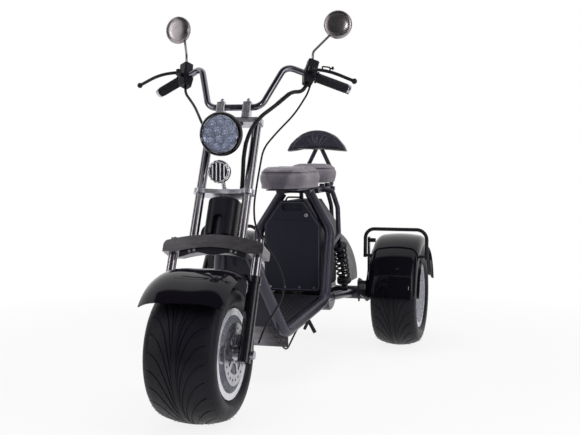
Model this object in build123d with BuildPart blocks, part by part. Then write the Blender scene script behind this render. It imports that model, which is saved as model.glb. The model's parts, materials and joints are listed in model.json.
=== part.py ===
from build123d import *
import math
import os

# Electric tricycle: one fat steered front wheel in a raked chrome fork, a looped
# tube frame round a battery box, two saddles and two fat rear wheels.
# Millimetres, +Z up, the front towards -Y, the rider's left towards +X.
# The origin lies on the ground under the middle of the whole machine.

# ---- driving dimensions ---------------------------------------------------------
wheelbase = 1430.0
rear_half_track = 365.0
tyre_radius = 218.0
front_tyre_width = 225.0
rear_tyre_width = 190.0
rim_seat_radius = 124.0
rim_flange_radius = 139.0
rim_wall = 5.0
spoke_count = 6

rake_degrees = 24.0
axle_lead = 25.0
stem_radius = 15.0
running_fit = 0.05
slip_fit = 0.2
fork_tube_radius = 15.0
upper_tube_x = 81.0
lower_tube_x = 142.0
leg_radius = 20.0
handlebar_radius = 11.0
grip_radius = 16.0

rail_radius = 20.0
panel_half_width = 117.0
panel_bottom_z = 272.0
panel_shoulder_z = 538.0
panel_top_z = 636.0
panel_top_half_width = 49.0

fender_gap = 44.0
fender_radius = tyre_radius + fender_gap
fender_wall = 4.0
fender_side_gap = 20.0
front_fender_gap = 38.0
front_fender_radius = tyre_radius + front_fender_gap

# ---- places worked out from them ------------------------------------------------
front_axle_y = -(wheelbase + fender_radius - tyre_radius) / 2
rear_axle_y = front_axle_y + wheelbase
panel_y = front_axle_y + 1010.0

rake = math.radians(rake_degrees)
front_centre = Vector(0, front_axle_y, tyre_radius)
steer_direction = Vector(0, math.sin(rake), math.cos(rake))
steer_back = Vector(0, math.cos(rake), -math.sin(rake))
steer_origin = front_centre + steer_back * axle_lead
steer = Plane(origin=steer_origin, x_dir=(1, 0, 0), z_dir=steer_direction)


def on_fork(x, back, along):
    """A point given across the fork, behind its axis and up along its axis."""
    return steer.from_local_coords(Vector(x, back, along))


def from_front(x, y, z):
    """A point of the frame, its y measured back from the front axle."""
    return Vector(x, front_axle_y + y, z)


def save(piece, name):
    """Label a finished piece and write its STEP file."""
    piece.part.label = name
    export_step(piece.part, f"parts/{name}.step")


def bent_bar(points, bends, radius, mode=Mode.ADD):
    """A round bar along straight runs joined by tangent arcs."""
    with BuildLine() as centre_line:
        if len(points) > 2:
            FilletPolyline(*points, radius=bends)
        else:
            Line(*points)
    start = Plane(origin=centre_line.line @ 0, z_dir=centre_line.line % 0)
    with BuildSketch(start) as section:
        Circle(radius)
    sweep(sections=section.sketch, path=centre_line.line, mode=mode)


def straight_bar(start, end, radius, mode=Mode.ADD):
    """A round bar between two points."""
    bent_bar([start, end], None, radius, mode)


def mirrored_x(points):
    """The same points on the other side of the machine."""
    return [Vector(-p.X, p.Y, p.Z) for p in points]


os.makedirs("parts", exist_ok=True)


# ---- wheels ---------------------------------------------------------------------
def build_tyre(centre, width):
    """A fat tyre: crowned tread, round shoulders, bead seated between the flanges."""
    half = width / 2
    bead = half - 16.0
    section_plane = Plane(origin=centre, x_dir=(1, 0, 0), z_dir=(0, -1, 0))
    with BuildPart() as tyre:
        with BuildSketch(section_plane) as section:
            with BuildLine():
                Line((-bead, rim_seat_radius), (bead, rim_seat_radius))
                Line((bead, rim_seat_radius), (bead, rim_flange_radius + 2))
                side = Spline(
                    (bead, rim_flange_radius + 2),
                    (half, (tyre_radius + rim_flange_radius) / 2),
                    (half * 0.62, tyre_radius - 9),
                    tangents=[(1, 0.55), (-1, 0.22)],
                )
                ThreePointArc(side @ 1, (0, tyre_radius), (-half * 0.62, tyre_radius - 9))
                Spline(
                    (-half * 0.62, tyre_radius - 9),
                    (-half, (tyre_radius + rim_flange_radius) / 2),
                    (-bead, rim_flange_radius + 2),
                    tangents=[(-1, -0.22), (1, -0.55)],
                )
                Line((-bead, rim_flange_radius + 2), (-bead, rim_seat_radius))
            make_face()
        revolve(axis=Axis(centre, (1, 0, 0)))
    return tyre


def build_rim(centre, width, hub_half, bore_radius, spoke_middle):
    """A cast rim: flanged barrel, hub and tapered spokes around the plane at spoke_middle."""
    bead = width / 2 - 16.0
    flange = bead + 6.0
    hub_radius = 34.0
    section_plane = Plane(origin=centre, x_dir=(1, 0, 0), z_dir=(0, -1, 0))
    with BuildPart() as rim:
        with BuildSketch(section_plane):
            with BuildLine():
                Polyline(
                    (-flange, rim_seat_radius - rim_wall),
                    (flange, rim_seat_radius - rim_wall),
                    (flange, rim_flange_radius),
                    (bead, rim_flange_radius),
                    (bead, rim_seat_radius),
                    (-bead, rim_seat_radius),
                    (-bead, rim_flange_radius),
                    (-flange, rim_flange_radius),
                    close=True,
                )
            make_face()
        revolve(axis=Axis(centre, (1, 0, 0)))
        hub_plane = Plane(origin=centre, x_dir=(0, 1, 0), z_dir=(1, 0, 0))
        with BuildSketch(hub_plane):
            Circle(hub_radius)
        extrude(amount=hub_half, both=True)
        spoke_length = rim_seat_radius - rim_wall - hub_radius + 4
        with BuildSketch(hub_plane.offset(spoke_middle)):
            with PolarLocations((hub_radius + rim_seat_radius - rim_wall) / 2, spoke_count):
                Trapezoid(36, spoke_length, 84, rotation=90)
        extrude(amount=12, both=True)
        with BuildSketch(hub_plane):
            Circle(bore_radius)
        extrude(amount=hub_half + 1, both=True, mode=Mode.SUBTRACT)
    return rim


front_axle_radius = 8.0
rear_axle_radius = 10.0
front_hub_half = 70.0
rear_hub_half = 62.0

front_tyre = build_tyre(front_centre, front_tyre_width)
save(front_tyre, "front_tyre")
front_rim = build_rim(front_centre, front_tyre_width, front_hub_half, front_axle_radius + running_fit, 0)
save(front_rim, "front_rim")

for side, side_name in ((1, "left"), (-1, "right")):
    rear_centre = Vector(side * rear_half_track, rear_axle_y, tyre_radius)
    rear_tyre = build_tyre(rear_centre, rear_tyre_width)
    save(rear_tyre, f"rear_tyre_{side_name}")
    rear_rim = build_rim(rear_centre, rear_tyre_width, rear_hub_half, rear_axle_radius + running_fit, side * 40)
    save(rear_rim, f"rear_rim_{side_name}")

# The vented brake disc bolts to the left end of the front hub.
disc_radius = 96.0
disc_thickness = 4.0
disc_x = 108.0
with BuildPart() as front_brake_disc:
    disc_plane = Plane(origin=front_centre, x_dir=(0, 1, 0), z_dir=(1, 0, 0))
    with BuildSketch(disc_plane.offset(disc_x)):
        Circle(disc_radius)
        Circle(62, mode=Mode.SUBTRACT)
        with PolarLocations(45, 5):
            Rectangle(50, 14)
        Circle(28)
        with PolarLocations(79, 20):
            Circle(4.5, mode=Mode.SUBTRACT)
        Circle(front_axle_radius + 1.5, mode=Mode.SUBTRACT)
    extrude(amount=disc_thickness)
    with BuildSketch(disc_plane.offset(front_hub_half)):
        Circle(26)
        Circle(front_axle_radius + 1.5, mode=Mode.SUBTRACT)
    extrude(amount=disc_x - front_hub_half)
save(front_brake_disc, "front_brake_disc")

# ---- fork and handlebar: everything that steers ------------------------------------
bridge_bottom = 312.0
bridge_top = 352.0
bridge_crown = 372.0
bridge_front = -56.0
bridge_back = 20.0
bridge_half = 168.0
yoke_along = 520.0
yoke_thickness = 15.0
clamp_along = 768.0
clamp_thickness = 18.0
tube_top = clamp_along + clamp_thickness

with BuildPart() as fork_tubes:
    for x in (-upper_tube_x, upper_tube_x):
        straight_bar(on_fork(x, -axle_lead, bridge_bottom + 12), on_fork(x, -axle_lead, tube_top), fork_tube_radius)
    for x in (-lower_tube_x, lower_tube_x):
        straight_bar(on_fork(x, -axle_lead, 150), on_fork(x, -axle_lead, bridge_top - 6), fork_tube_radius)
save(fork_tubes, "fork_tubes")

with BuildPart() as fork_bridge:
    front_face = Plane(origin=on_fork(0, bridge_front, 0), x_dir=(1, 0, 0), z_dir=-steer_back)
    with BuildSketch(front_face):
        with BuildLine():
            ThreePointArc((-150, bridge_top), (0, bridge_crown), (150, bridge_top))
            ThreePointArc((150, bridge_top), (163, bridge_top - 6), (bridge_half, bridge_top - 18))
            Line((bridge_half, bridge_top - 18), (bridge_half, bridge_bottom))
            Line((bridge_half, bridge_bottom), (lower_tube_x - 22, bridge_bottom))
            ThreePointArc((lower_tube_x - 22, bridge_bottom), (0, bridge_crown - 42), (22 - lower_tube_x, bridge_bottom))
            Line((22 - lower_tube_x, bridge_bottom), (-bridge_half, bridge_bottom))
            Line((-bridge_half, bridge_bottom), (-bridge_half, bridge_top - 18))
            ThreePointArc((-bridge_half, bridge_top - 18), (-163, bridge_top - 6), (-150, bridge_top))
        make_face()
    extrude(amount=bridge_front - bridge_back)
    for x in (-upper_tube_x, upper_tube_x, -lower_tube_x, lower_tube_x):
        straight_bar(
            on_fork(x, -axle_lead, bridge_bottom - 40),
            on_fork(x, -axle_lead, bridge_crown + 40),
            fork_tube_radius + slip_fit,
            Mode.SUBTRACT,
        )
    straight_bar(on_fork(0, 0, bridge_bottom), on_fork(0, 0, bridge_crown + 20), stem_radius, Mode.SUBTRACT)
save(fork_bridge, "fork_bridge")

with BuildPart() as top_yoke:
    with BuildSketch(steer.offset(yoke_along)):
        with BuildLine():
            ThreePointArc((-101, -axle_lead + 8), (-101, -axle_lead - 8), (-92, -axle_lead - 20))
            ThreePointArc((-92, -axle_lead - 20), (0, -34), (92, -axle_lead - 20))
            ThreePointArc((92, -axle_lead - 20), (101, -axle_lead - 8), (101, -axle_lead + 8))
            ThreePointArc((101, -axle_lead + 8), (0, 27), (-101, -axle_lead + 8))
        make_face()
        with Locations((-upper_tube_x, -axle_lead), (upper_tube_x, -axle_lead)):
            Circle(fork_tube_radius + 8)
    extrude(amount=yoke_thickness)
    for x in (-upper_tube_x, upper_tube_x):
        straight_bar(
            on_fork(x, -axle_lead, yoke_along - 5),
            on_fork(x, -axle_lead, yoke_along + 40),
            fork_tube_radius + slip_fit,
            Mode.SUBTRACT,
        )
    straight_bar(on_fork(0, 0, bridge_bottom + 20), on_fork(0, 0, yoke_along + 4), stem_radius)
    straight_bar(on_fork(0, 0, yoke_along + yoke_thickness), on_fork(0, 0, yoke_along + yoke_thickness + 9), 19)
save(top_yoke, "top_yoke")

bar_along = 824.0
bar_back = -42.0
with BuildPart() as bar_clamp:
    with BuildSketch(steer.offset(clamp_along)):
        RectangleRounded(200, 46, 16)
    extrude(amount=clamp_thickness)
    part_shift = Location(steer_back * -axle_lead)
    bar_clamp.part = bar_clamp.part.moved(part_shift)
    for x in (-upper_tube_x, upper_tube_x):
        straight_bar(
            on_fork(x, -axle_lead, clamp_along - 5),
            on_fork(x, -axle_lead, clamp_along + 40),
            fork_tube_radius + slip_fit,
            Mode.SUBTRACT,
        )
    for x in (-46, 46):
        riser_plane = Plane(origin=on_fork(x, bar_back, clamp_along + clamp_thickness - 2), x_dir=(1, 0, 0), z_dir=steer_direction)
        with BuildSketch(riser_plane):
            RectangleRounded(30, 26, 5)
        extrude(amount=bar_along - clamp_along - clamp_thickness + 18)
        with BuildSketch(riser_plane.offset(bar_along - clamp_along - clamp_thickness + 14)):
            Circle(6.5)
        extrude(amount=16)
    straight_bar(on_fork(-90, bar_back, bar_along), on_fork(90, bar_back, bar_along), handlebar_radius + slip_fit, Mode.SUBTRACT)
save(bar_clamp, "bar_clamp")

grip_length = 118.0
bar_knee = on_fork(150, -15, 990)
grip_end = on_fork(345, 100, 958)
bar_direction = (grip_end - bar_knee).normalized()
grip_inner = grip_end - bar_direction * grip_length
bar_points = [
    grip_end - bar_direction * 3,
    bar_knee,
    on_fork(92, bar_back, bar_along),
]
with BuildPart() as handlebar:
    bent_bar(bar_points + mirrored_x(bar_points)[::-1], [38, 40, 40, 38], handlebar_radius)
save(handlebar, "handlebar")


def each_side(build):
    """Run a builder of one side's shape for the left (+1) and the right (-1)."""
    for side in (1, -1):
        build(side)


def sided(point, side):
    return Vector(side * point.X, point.Y, point.Z)


def build_grip(side):
    straight_bar(sided(grip_inner, side), sided(grip_end, side), grip_radius)
    straight_bar(
        sided(grip_inner - bar_direction * 5, side),
        sided(grip_end - bar_direction * 3, side),
        handlebar_radius + slip_fit,
        Mode.SUBTRACT,
    )
    straight_bar(sided(grip_inner, side), sided(grip_inner + bar_direction * 5, side), grip_radius + 4)
    straight_bar(sided(grip_inner - bar_direction * 5, side), sided(grip_inner + bar_direction * 8, side), handlebar_radius + slip_fit, Mode.SUBTRACT)


with BuildPart() as grips:
    each_side(build_grip)
save(grips, "grips")

# Switch housings clamp the bar inboard of the grips and carry the levers and mirrors.
switch_gap = 2.0
switch_length = 44.0
switch_mid = grip_inner - bar_direction * (switch_gap + switch_length / 2)
switch_up = (steer_direction - bar_direction * steer_direction.dot(bar_direction)).normalized()
perch_mid = switch_mid + switch_up * 26.0


def build_switch(side):
    outward = sided(bar_direction, side)
    up = sided(switch_up, side)
    centre = sided(switch_mid, side)
    housing_plane = Plane(origin=centre - up * 36, x_dir=outward, z_dir=up)
    with BuildSketch(housing_plane) as foot:
        RectangleRounded(30, 34, 6)
    with BuildSketch(housing_plane.offset(30)) as waist:
        RectangleRounded(switch_length, 42, 9)
    loft(sections=[foot.sketch, waist.sketch])
    with BuildSketch(housing_plane.offset(29.5)) as block:
        RectangleRounded(switch_length - 1, 41, 8.5)
    extrude(block.sketch, amount=29)
    with BuildSketch(housing_plane.offset(57)) as tank:
        RectangleRounded(switch_length - 6, 36, 7)
    extrude(tank.sketch, amount=31)
    straight_bar(centre - outward * 40, centre + outward * 40, handlebar_radius + slip_fit, Mode.SUBTRACT)


with BuildPart() as switch_housings:
    each_side(build_switch)
save(switch_housings, "switch_housings")

lever_pivot = on_fork(238, -6, 980)
lever_tip = on_fork(385, 12, 942)


def build_lever(side):
    pivot = sided(lever_pivot, side)
    tip = sided(lever_tip, side)
    middle = sided(on_fork(300, -18, 968), side)
    bent_bar([pivot, middle, tip], [160], 5.5)
    with Locations(tip):
        Sphere(9.5)
    straight_bar(pivot - sided(switch_up, side) * 9, pivot + sided(switch_up, side) * 9, 10)
    housing_middle = sided(switch_mid, side)
    straight_bar(housing_middle + (pivot - housing_middle).normalized() * 15, pivot, 7)


with BuildPart() as levers:
    each_side(build_lever)
    add(switch_housings.part, mode=Mode.SUBTRACT)
    add(handlebar.part, mode=Mode.SUBTRACT)
    add(grips.part, mode=Mode.SUBTRACT)
save(levers, "levers")

mirror_radius = 49.0
mirror_centre = on_fork(296, 52, 1184)
mirror_base = switch_mid + switch_up * 50.0
mirror_facing = Vector(0.12, -1, 0.05).normalized()


def build_mirror(side):
    base = sided(mirror_base, side)
    centre = sided(mirror_centre, side)
    facing = sided(mirror_facing, side)
    knee = sided(mirror_base + Vector(0, 0, 34), side)
    edge = centre + Vector(-side * 26, 0, -36) - facing * 4
    bent_bar([base, knee, edge], [14], 4.2)
    shell_plane = Plane(origin=centre - facing * 8, z_dir=facing)
    with BuildSketch(shell_plane) as rim_section:
        Circle(mirror_radius)
    extrude(rim_section.sketch, amount=9)
    with BuildSketch(shell_plane.offset(9)) as crown_base:
        Circle(mirror_radius)
    with BuildSketch(shell_plane.offset(19)) as crown_top:
        Circle(mirror_radius * 0.55)
    loft(sections=[crown_base.sketch, crown_top.sketch])


with BuildPart() as mirrors:
    each_side(build_mirror)
    add(switch_housings.part, mode=Mode.SUBTRACT)
save(mirrors, "mirrors")

# ---- lights and horn on the fork ----------------------------------------------------
lamp_radius = 71.0
lamp_centre = from_front(0, 190, 888)
with BuildPart() as headlight:
    lamp_plane = Plane(origin=lamp_centre, x_dir=(1, 0, 0), z_dir=(0, -1, 0))
    with BuildSketch(Plane(origin=lamp_centre, x_dir=(0, 1, 0), z_dir=(1, 0, 0))):
        with BuildLine():
            Polyline((-14, 0), (-14, lamp_radius - 6), (-8, lamp_radius), (8, lamp_radius), (12, lamp_radius - 6))
            Spline((12, lamp_radius - 6), (52, 48), (74, 0), tangents=[(1, -0.15), (0, -1)])
            Line((74, 0), (-14, 0))
        make_face()
    revolve(axis=Axis(lamp_centre, (0, 1, 0)))
    for x in (-30, 30):
        straight_bar(
            Vector(x, lamp_centre.Y + 30, lamp_centre.Z + 20),
            on_fork(x, -axle_lead - 4, clamp_along + 3),
            6,
        )
    add(bar_clamp.part, mode=Mode.SUBTRACT)
save(headlight, "headlight")

horn_radius = 37.0
horn_centre = from_front(0, 178, 768)
with BuildPart() as horn:
    with BuildSketch(Plane(origin=horn_centre, x_dir=(0, 1, 0), z_dir=(1, 0, 0))):
        with BuildLine():
            Polyline((-16, 0), (-16, horn_radius - 8), (-8, horn_radius), (2, horn_radius), (8, horn_radius - 9), (24, 22), (24, 0), close=True)
        make_face()
    revolve(axis=Axis(horn_centre, (0, 1, 0)))
    straight_bar(
        horn_centre + Vector(0, 12, 0),
        on_fork(0, -20, yoke_along + yoke_thickness),
        7,
    )
    add(top_yoke.part, mode=Mode.SUBTRACT)
save(horn, "horn")

# ---- lower fork legs, axle, caliper and front fender ---------------------------------
leg_top = 246.0
with BuildPart() as fork_legs:
    for x in (-lower_tube_x, lower_tube_x):
        straight_bar(on_fork(x, -axle_lead, -26), on_fork(x, -axle_lead, leg_top), leg_radius)
        straight_bar(on_fork(x, -axle_lead, leg_top - 22), on_fork(x, -axle_lead, leg_top - 2), leg_radius + 3)
        straight_bar(
            on_fork(x, -axle_lead, 150),
            on_fork(x, -axle_lead, leg_top + 10),
            fork_tube_radius + slip_fit,
            Mode.SUBTRACT,
        )
    straight_bar(front_centre - Vector(200, 0, 0), front_centre + Vector(200, 0, 0), front_axle_radius + slip_fit, Mode.SUBTRACT)
save(fork_legs, "fork_legs")

with BuildPart() as front_axle:
    straight_bar(front_centre - Vector(168, 0, 0), front_centre + Vector(168, 0, 0), front_axle_radius)
    for x in (-165, 165):
        end = 12 if x > 0 else -12
        straight_bar(front_centre + Vector(x - end / 4, 0, 0), front_centre + Vector(x + end * 0.75, 0, 0), 13)
    spacer_gap = 0.4
    straight_bar(
        front_centre - Vector(lower_tube_x - leg_radius, 0, 0),
        front_centre - Vector(front_hub_half + spacer_gap, 0, 0),
        14,
    )
save(front_axle, "front_axle")

with BuildPart() as brake_caliper:
    caliper_plane = Plane(origin=front_centre + Vector(disc_x - 24, 0, 0), x_dir=(0, 1, 0), z_dir=(1, 0, 0))
    with BuildSketch(caliper_plane):
        with Locations((74, 14)):
            RectangleRounded(46, 78, 13)
    extrude(amount=50)
    with BuildSketch(caliper_plane.offset(24 - 3)):
        Circle(disc_radius + 4)
    extrude(amount=disc_thickness + 6, mode=Mode.SUBTRACT)
    with BuildSketch(caliper_plane.offset(40)):
        with Locations((48, 22)):
            RectangleRounded(70, 34, 8)
    extrude(amount=10)
    add(fork_legs.part, mode=Mode.SUBTRACT)
save(brake_caliper, "brake_caliper")

front_fender_start = 44.0
front_fender_arc = 76.0
with BuildPart() as front_fender:
    lift = math.radians(front_fender_start)
    front_edge = Plane(
        origin=front_centre,
        x_dir=(1, 0, 0),
        z_dir=(0, -math.sin(lift), -math.cos(lift)),
    )
    with BuildSketch(front_edge):
        with BuildLine():
            crown = Spline((-134, 229), (-108, 246), (0, front_fender_radius), (108, 246), (134, 229))
            Line(crown @ 1, (131, 226))
            Spline((131, 226), (106, 242), (0, front_fender_radius - 4), (-106, 242), (-131, 226))
            Line((-131, 226), crown @ 0)
        make_face()
    revolve(axis=Axis(front_centre, (-1, 0, 0)), revolution_arc=front_fender_arc)
    for x in (-lower_tube_x, lower_tube_x):
        straight_bar(on_fork(x, -axle_lead, 150), on_fork(x, -axle_lead, 320), leg_radius + 9, Mode.SUBTRACT)
        side = 1 if x > 0 else -1
        behind = Plane(origin=on_fork(side * (lower_tube_x + 8), -axle_lead, 150), x_dir=(1, 0, 0), z_dir=steer_direction)
        with BuildSketch(behind):
            with Locations((0, 60)):
                Rectangle(2 * (8 + leg_radius + 9), 120)
        extrude(amount=170, mode=Mode.SUBTRACT)
        straight_bar(on_fork(side * 102, -axle_lead, 246), on_fork(side * (lower_tube_x - 6), -axle_lead, 246), 7)
    add(fork_legs.part, mode=Mode.SUBTRACT)
    add(fork_tubes.part, mode=Mode.SUBTRACT)
save(front_fender, "front_fender")

# ---- frame ------------------------------------------------------------------------
head_bottom = bridge_crown + 8.0
head_top = yoke_along - 6.0
head_radius = 27.0

rail_points = [
    from_front(20, 252, 610),
    from_front(66, 352, 430),
    from_front(116, 512, 192),
    from_front(148, 968, 248),
    from_front(148, 1042, 515),
    from_front(58, 1066, 664),
]
rail_bends = [120, 62, 75, 70]

with BuildPart() as head_tube:
    straight_bar(on_fork(0, 0, head_bottom), on_fork(0, 0, head_top), head_radius)
    with BuildSketch(Plane(origin=from_front(0, 225, 600), x_dir=(0, 1, 0), z_dir=(1, 0, 0))):
        with BuildLine():
            Polyline((0, -40), (12, 50), (70, -70), (95, -150), (60, -150), close=True)
        make_face()
    extrude(amount=7, both=True)
    straight_bar(on_fork(0, 0, head_bottom - 30), on_fork(0, 0, head_top + 30), stem_radius + running_fit, Mode.SUBTRACT)
save(head_tube, "head_tube")

for side, side_name in ((1, "left"), (-1, "right")):
    with BuildPart() as frame_rail:
        bent_bar([sided(p, side) for p in rail_points], rail_bends, rail_radius)
        add(head_tube.part, mode=Mode.SUBTRACT)
        with BuildSketch(Plane.YZ):
            with Locations((front_axle_y + 600, 400)):
                Rectangle(2000, 900)
        extrude(amount=0.3, both=True, mode=Mode.SUBTRACT)
    save(frame_rail, f"frame_rail_{side_name}")
    if side == 1:
        left_rail = frame_rail
    else:
        right_rail = frame_rail

# The black cover round the head tube, open below and arched over the tube in front.
cover_bottom = head_bottom + 4.0
cover_top = head_top - 4.0
cover_wall = 3.0
with BuildPart() as head_cover:
    with BuildSketch(steer.offset(cover_bottom)):
        with Locations((0, 5)):
            RectangleRounded(106, 90, 34)
    extrude(amount=cover_top - cover_bottom)
    fillet(head_cover.faces().sort_by(Axis(on_fork(0, 0, 0), steer_direction))[-1].edges(), 13)
    with BuildSketch(steer.offset(cover_bottom)):
        with Locations((0, 5)):
            RectangleRounded(106 - 2 * cover_wall, 90 - 2 * cover_wall, 34 - cover_wall)
    extrude(amount=cover_top - cover_bottom - 14, mode=Mode.SUBTRACT)
    arch_plane = Plane(origin=on_fork(0, -60, cover_bottom), x_dir=(1, 0, 0), z_dir=-steer_back)
    with BuildSketch(arch_plane):
        with Locations((-2, 18)):
            SlotOverall(92, 34, rotation=90)
    extrude(amount=-40, mode=Mode.SUBTRACT)
    with BuildSketch(Plane(origin=on_fork(0, 80, cover_bottom), x_dir=(1, 0, 0), z_dir=-steer_back)):
        with Locations((0, 12)):
            RectangleRounded(88, 150, 12)
    extrude(amount=50, mode=Mode.SUBTRACT)
    straight_bar(on_fork(0, 0, head_bottom - 5), on_fork(0, 0, head_top + 5), head_radius + slip_fit, Mode.SUBTRACT)
    add(head_tube.part, mode=Mode.SUBTRACT)
    add(left_rail.part, mode=Mode.SUBTRACT)
    add(right_rail.part, mode=Mode.SUBTRACT)
save(head_cover, "head_cover")

# Floor: one folded sheet between the rails, turned down at its front and level
# under the battery box, with a ribbed rubber mat on its sloping part.
floor_front_y = 548.0
floor_back_y = 1000.0
tray_back_y = 1284.0
lip_bottom_z = 137.0
pan_thickness = 3.0
rail_front = rail_points[2]
rail_back = rail_points[3]
floor_rise = (rail_back.Z - rail_front.Z) / (rail_back.Y - rail_front.Y)
floor_spread = (rail_back.X - rail_front.X) / (rail_back.Y - rail_front.Y)
floor_front_z = rail_front.Z + 8 + floor_rise * (front_axle_y + floor_front_y - rail_front.Y)
floor_back_z = floor_front_z + floor_rise * (floor_back_y - floor_front_y)
floor_front_half = rail_front.X + floor_spread * (front_axle_y + floor_front_y - rail_front.Y)
floor_back_half = rail_back.X
side_view = Plane(origin=(0, front_axle_y, 0), x_dir=(0, 1, 0), z_dir=(1, 0, 0))
plan_view = Plane(origin=(0, front_axle_y, 0), x_dir=(1, 0, 0), z_dir=(0, 0, 1))
with BuildPart() as floor_pan:
    with BuildSketch(side_view):
        with BuildLine():
            Polyline(
                (floor_front_y, lip_bottom_z),
                (floor_front_y, floor_front_z + pan_thickness),
                (floor_back_y, floor_back_z + pan_thickness),
                (tray_back_y, floor_back_z + pan_thickness),
                (tray_back_y, floor_back_z),
                (floor_back_y, floor_back_z),
                (floor_front_y + pan_thickness, floor_front_z),
                (floor_front_y + pan_thickness, lip_bottom_z),
                close=True,
            )
        make_face()
    extrude(amount=200, both=True)
    with BuildSketch(plan_view):
        with BuildLine():
            Polyline(
                (-floor_front_half, 0),
                (floor_front_half, 0),
                (floor_front_half, floor_front_y),
                (floor_back_half, floor_back_y),
                (floor_back_half - 34, floor_back_y + 60),
                (floor_back_half - 34, 1500),
                (34 - floor_back_half, 1500),
                (34 - floor_back_half, floor_back_y + 60),
                (-floor_back_half, floor_back_y),
                (-floor_front_half, floor_front_y),
                close=True,
            )
        make_face()
    extrude(amount=700, mode=Mode.INTERSECT)
    add(left_rail.part, mode=Mode.SUBTRACT)
    add(right_rail.part, mode=Mode.SUBTRACT)
save(floor_pan, "floor_pan")

mat_thickness = 4.0
rib_height = 2.0
rib_count = 11
rib_spacing = 16.0
mat_side_gap = rail_radius + 4.0
mat_start = Vector(0, front_axle_y + floor_front_y, floor_front_z + pan_thickness)
mat_end = Vector(0, front_axle_y + floor_back_y, floor_back_z + pan_thickness)
mat_length = (mat_end - mat_start).length
mat_run = (mat_end - mat_start).normalized()
mat_plane = Plane(origin=mat_start, x_dir=(1, 0, 0), z_dir=Vector(0, -mat_run.Z, mat_run.Y))
with BuildPart() as floor_mat:
    with BuildSketch(mat_plane):
        with BuildLine():
            Polyline(
                (mat_side_gap - floor_front_half, 8),
                (floor_front_half - mat_side_gap, 8),
                (floor_back_half - mat_side_gap, mat_length - 24),
                (mat_side_gap - floor_back_half, mat_length - 24),
                close=True,
            )
        make_face()
    extrude(amount=mat_thickness)
    with BuildSketch(mat_plane.offset(mat_thickness)):
        with Locations((0, mat_length / 2 - 8)):
            with GridLocations(rib_spacing, 0, rib_count, 1):
                SlotOverall(mat_length - 60, 6, rotation=90)
    extrude(amount=rib_height)
save(floor_mat, "floor_mat")

# The front panel fills the space between the two down tubes.
with BuildPart() as front_panel:
    upper = from_front(0, 268, 560)
    lower = from_front(0, 500, 215)
    run = lower - upper
    panel_normal = Vector(0, -run.Z, run.Y).normalized()
    down_plane = Plane(origin=upper, x_dir=(1, 0, 0), z_dir=panel_normal)
    with BuildSketch(down_plane):
        with BuildLine():
            Polyline((-42, 0), (42, 0), (112, run.length), (-112, run.length), close=True)
        make_face()
    extrude(amount=4)
    add(left_rail.part, mode=Mode.SUBTRACT)
    add(right_rail.part, mode=Mode.SUBTRACT)
    add(head_tube.part, mode=Mode.SUBTRACT)
save(front_panel, "front_panel")


# ---- battery box ---------------------------------------------------------------------
def panel_outline(inset):
    """The eight-sided outline of the battery box, drawn on its front plane."""
    half = panel_half_width - inset
    top_half = panel_top_half_width - inset * 0.4
    with BuildLine() as outline:
        Polyline(
            (-half + 10, panel_bottom_z + inset),
            (half - 10, panel_bottom_z + inset),
            (half, panel_bottom_z + inset + 10),
            (half, panel_shoulder_z - inset * 0.4),
            (top_half, panel_top_z - inset),
            (-top_half, panel_top_z - inset),
            (-half, panel_shoulder_z - inset * 0.4),
            (-half, panel_bottom_z + inset + 10),
            close=True,
        )
    return outline.line


front_plane = Plane(origin=(0, panel_y, 0), x_dir=(1, 0, 0), z_dir=(0, -1, 0))
cover_depth = 14.0
case_depth = 270.0
case_gap = 0.3
with BuildPart() as battery_cover:
    with BuildSketch(front_plane):
        add(panel_outline(0))
        make_face()
    extrude(amount=-cover_depth)
    fillet(battery_cover.edges().filter_by(Axis.Y, reverse=True).sort_by(Axis.Y)[:8], 4)
    with BuildSketch(front_plane):
        with Locations((0, 608)):
            SlotOverall(88, 24)
    extrude(amount=-11, mode=Mode.SUBTRACT)
    with BuildSketch(front_plane):
        with Locations((0, 558)):
            Rectangle(150, 3)
    extrude(amount=-2, mode=Mode.SUBTRACT)
    with BuildSketch(front_plane):
        with Locations((58, 578)):
            Circle(9)
    extrude(amount=4)
save(battery_cover, "battery_cover")

with BuildPart() as battery_case:
    with BuildSketch(front_plane.offset(-cover_depth - case_gap)):
        add(panel_outline(4))
        make_face()
    extrude(amount=-case_depth)
    add(left_rail.part, mode=Mode.SUBTRACT)
    add(right_rail.part, mode=Mode.SUBTRACT)
    add(floor_pan.part, mode=Mode.SUBTRACT)
save(battery_case, "battery_case")

strap_points = [
    Vector(-38, panel_y + 34, panel_top_z - 4),
    Vector(-30, panel_y + 34, panel_top_z + 12),
    Vector(30, panel_y + 34, panel_top_z + 12),
    Vector(38, panel_y + 34, panel_top_z - 4),
]
with BuildPart() as battery_handle:
    bent_bar(strap_points, [12, 12], 3.5)
    add(battery_case.part, mode=Mode.SUBTRACT)
save(battery_handle, "battery_handle")

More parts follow.
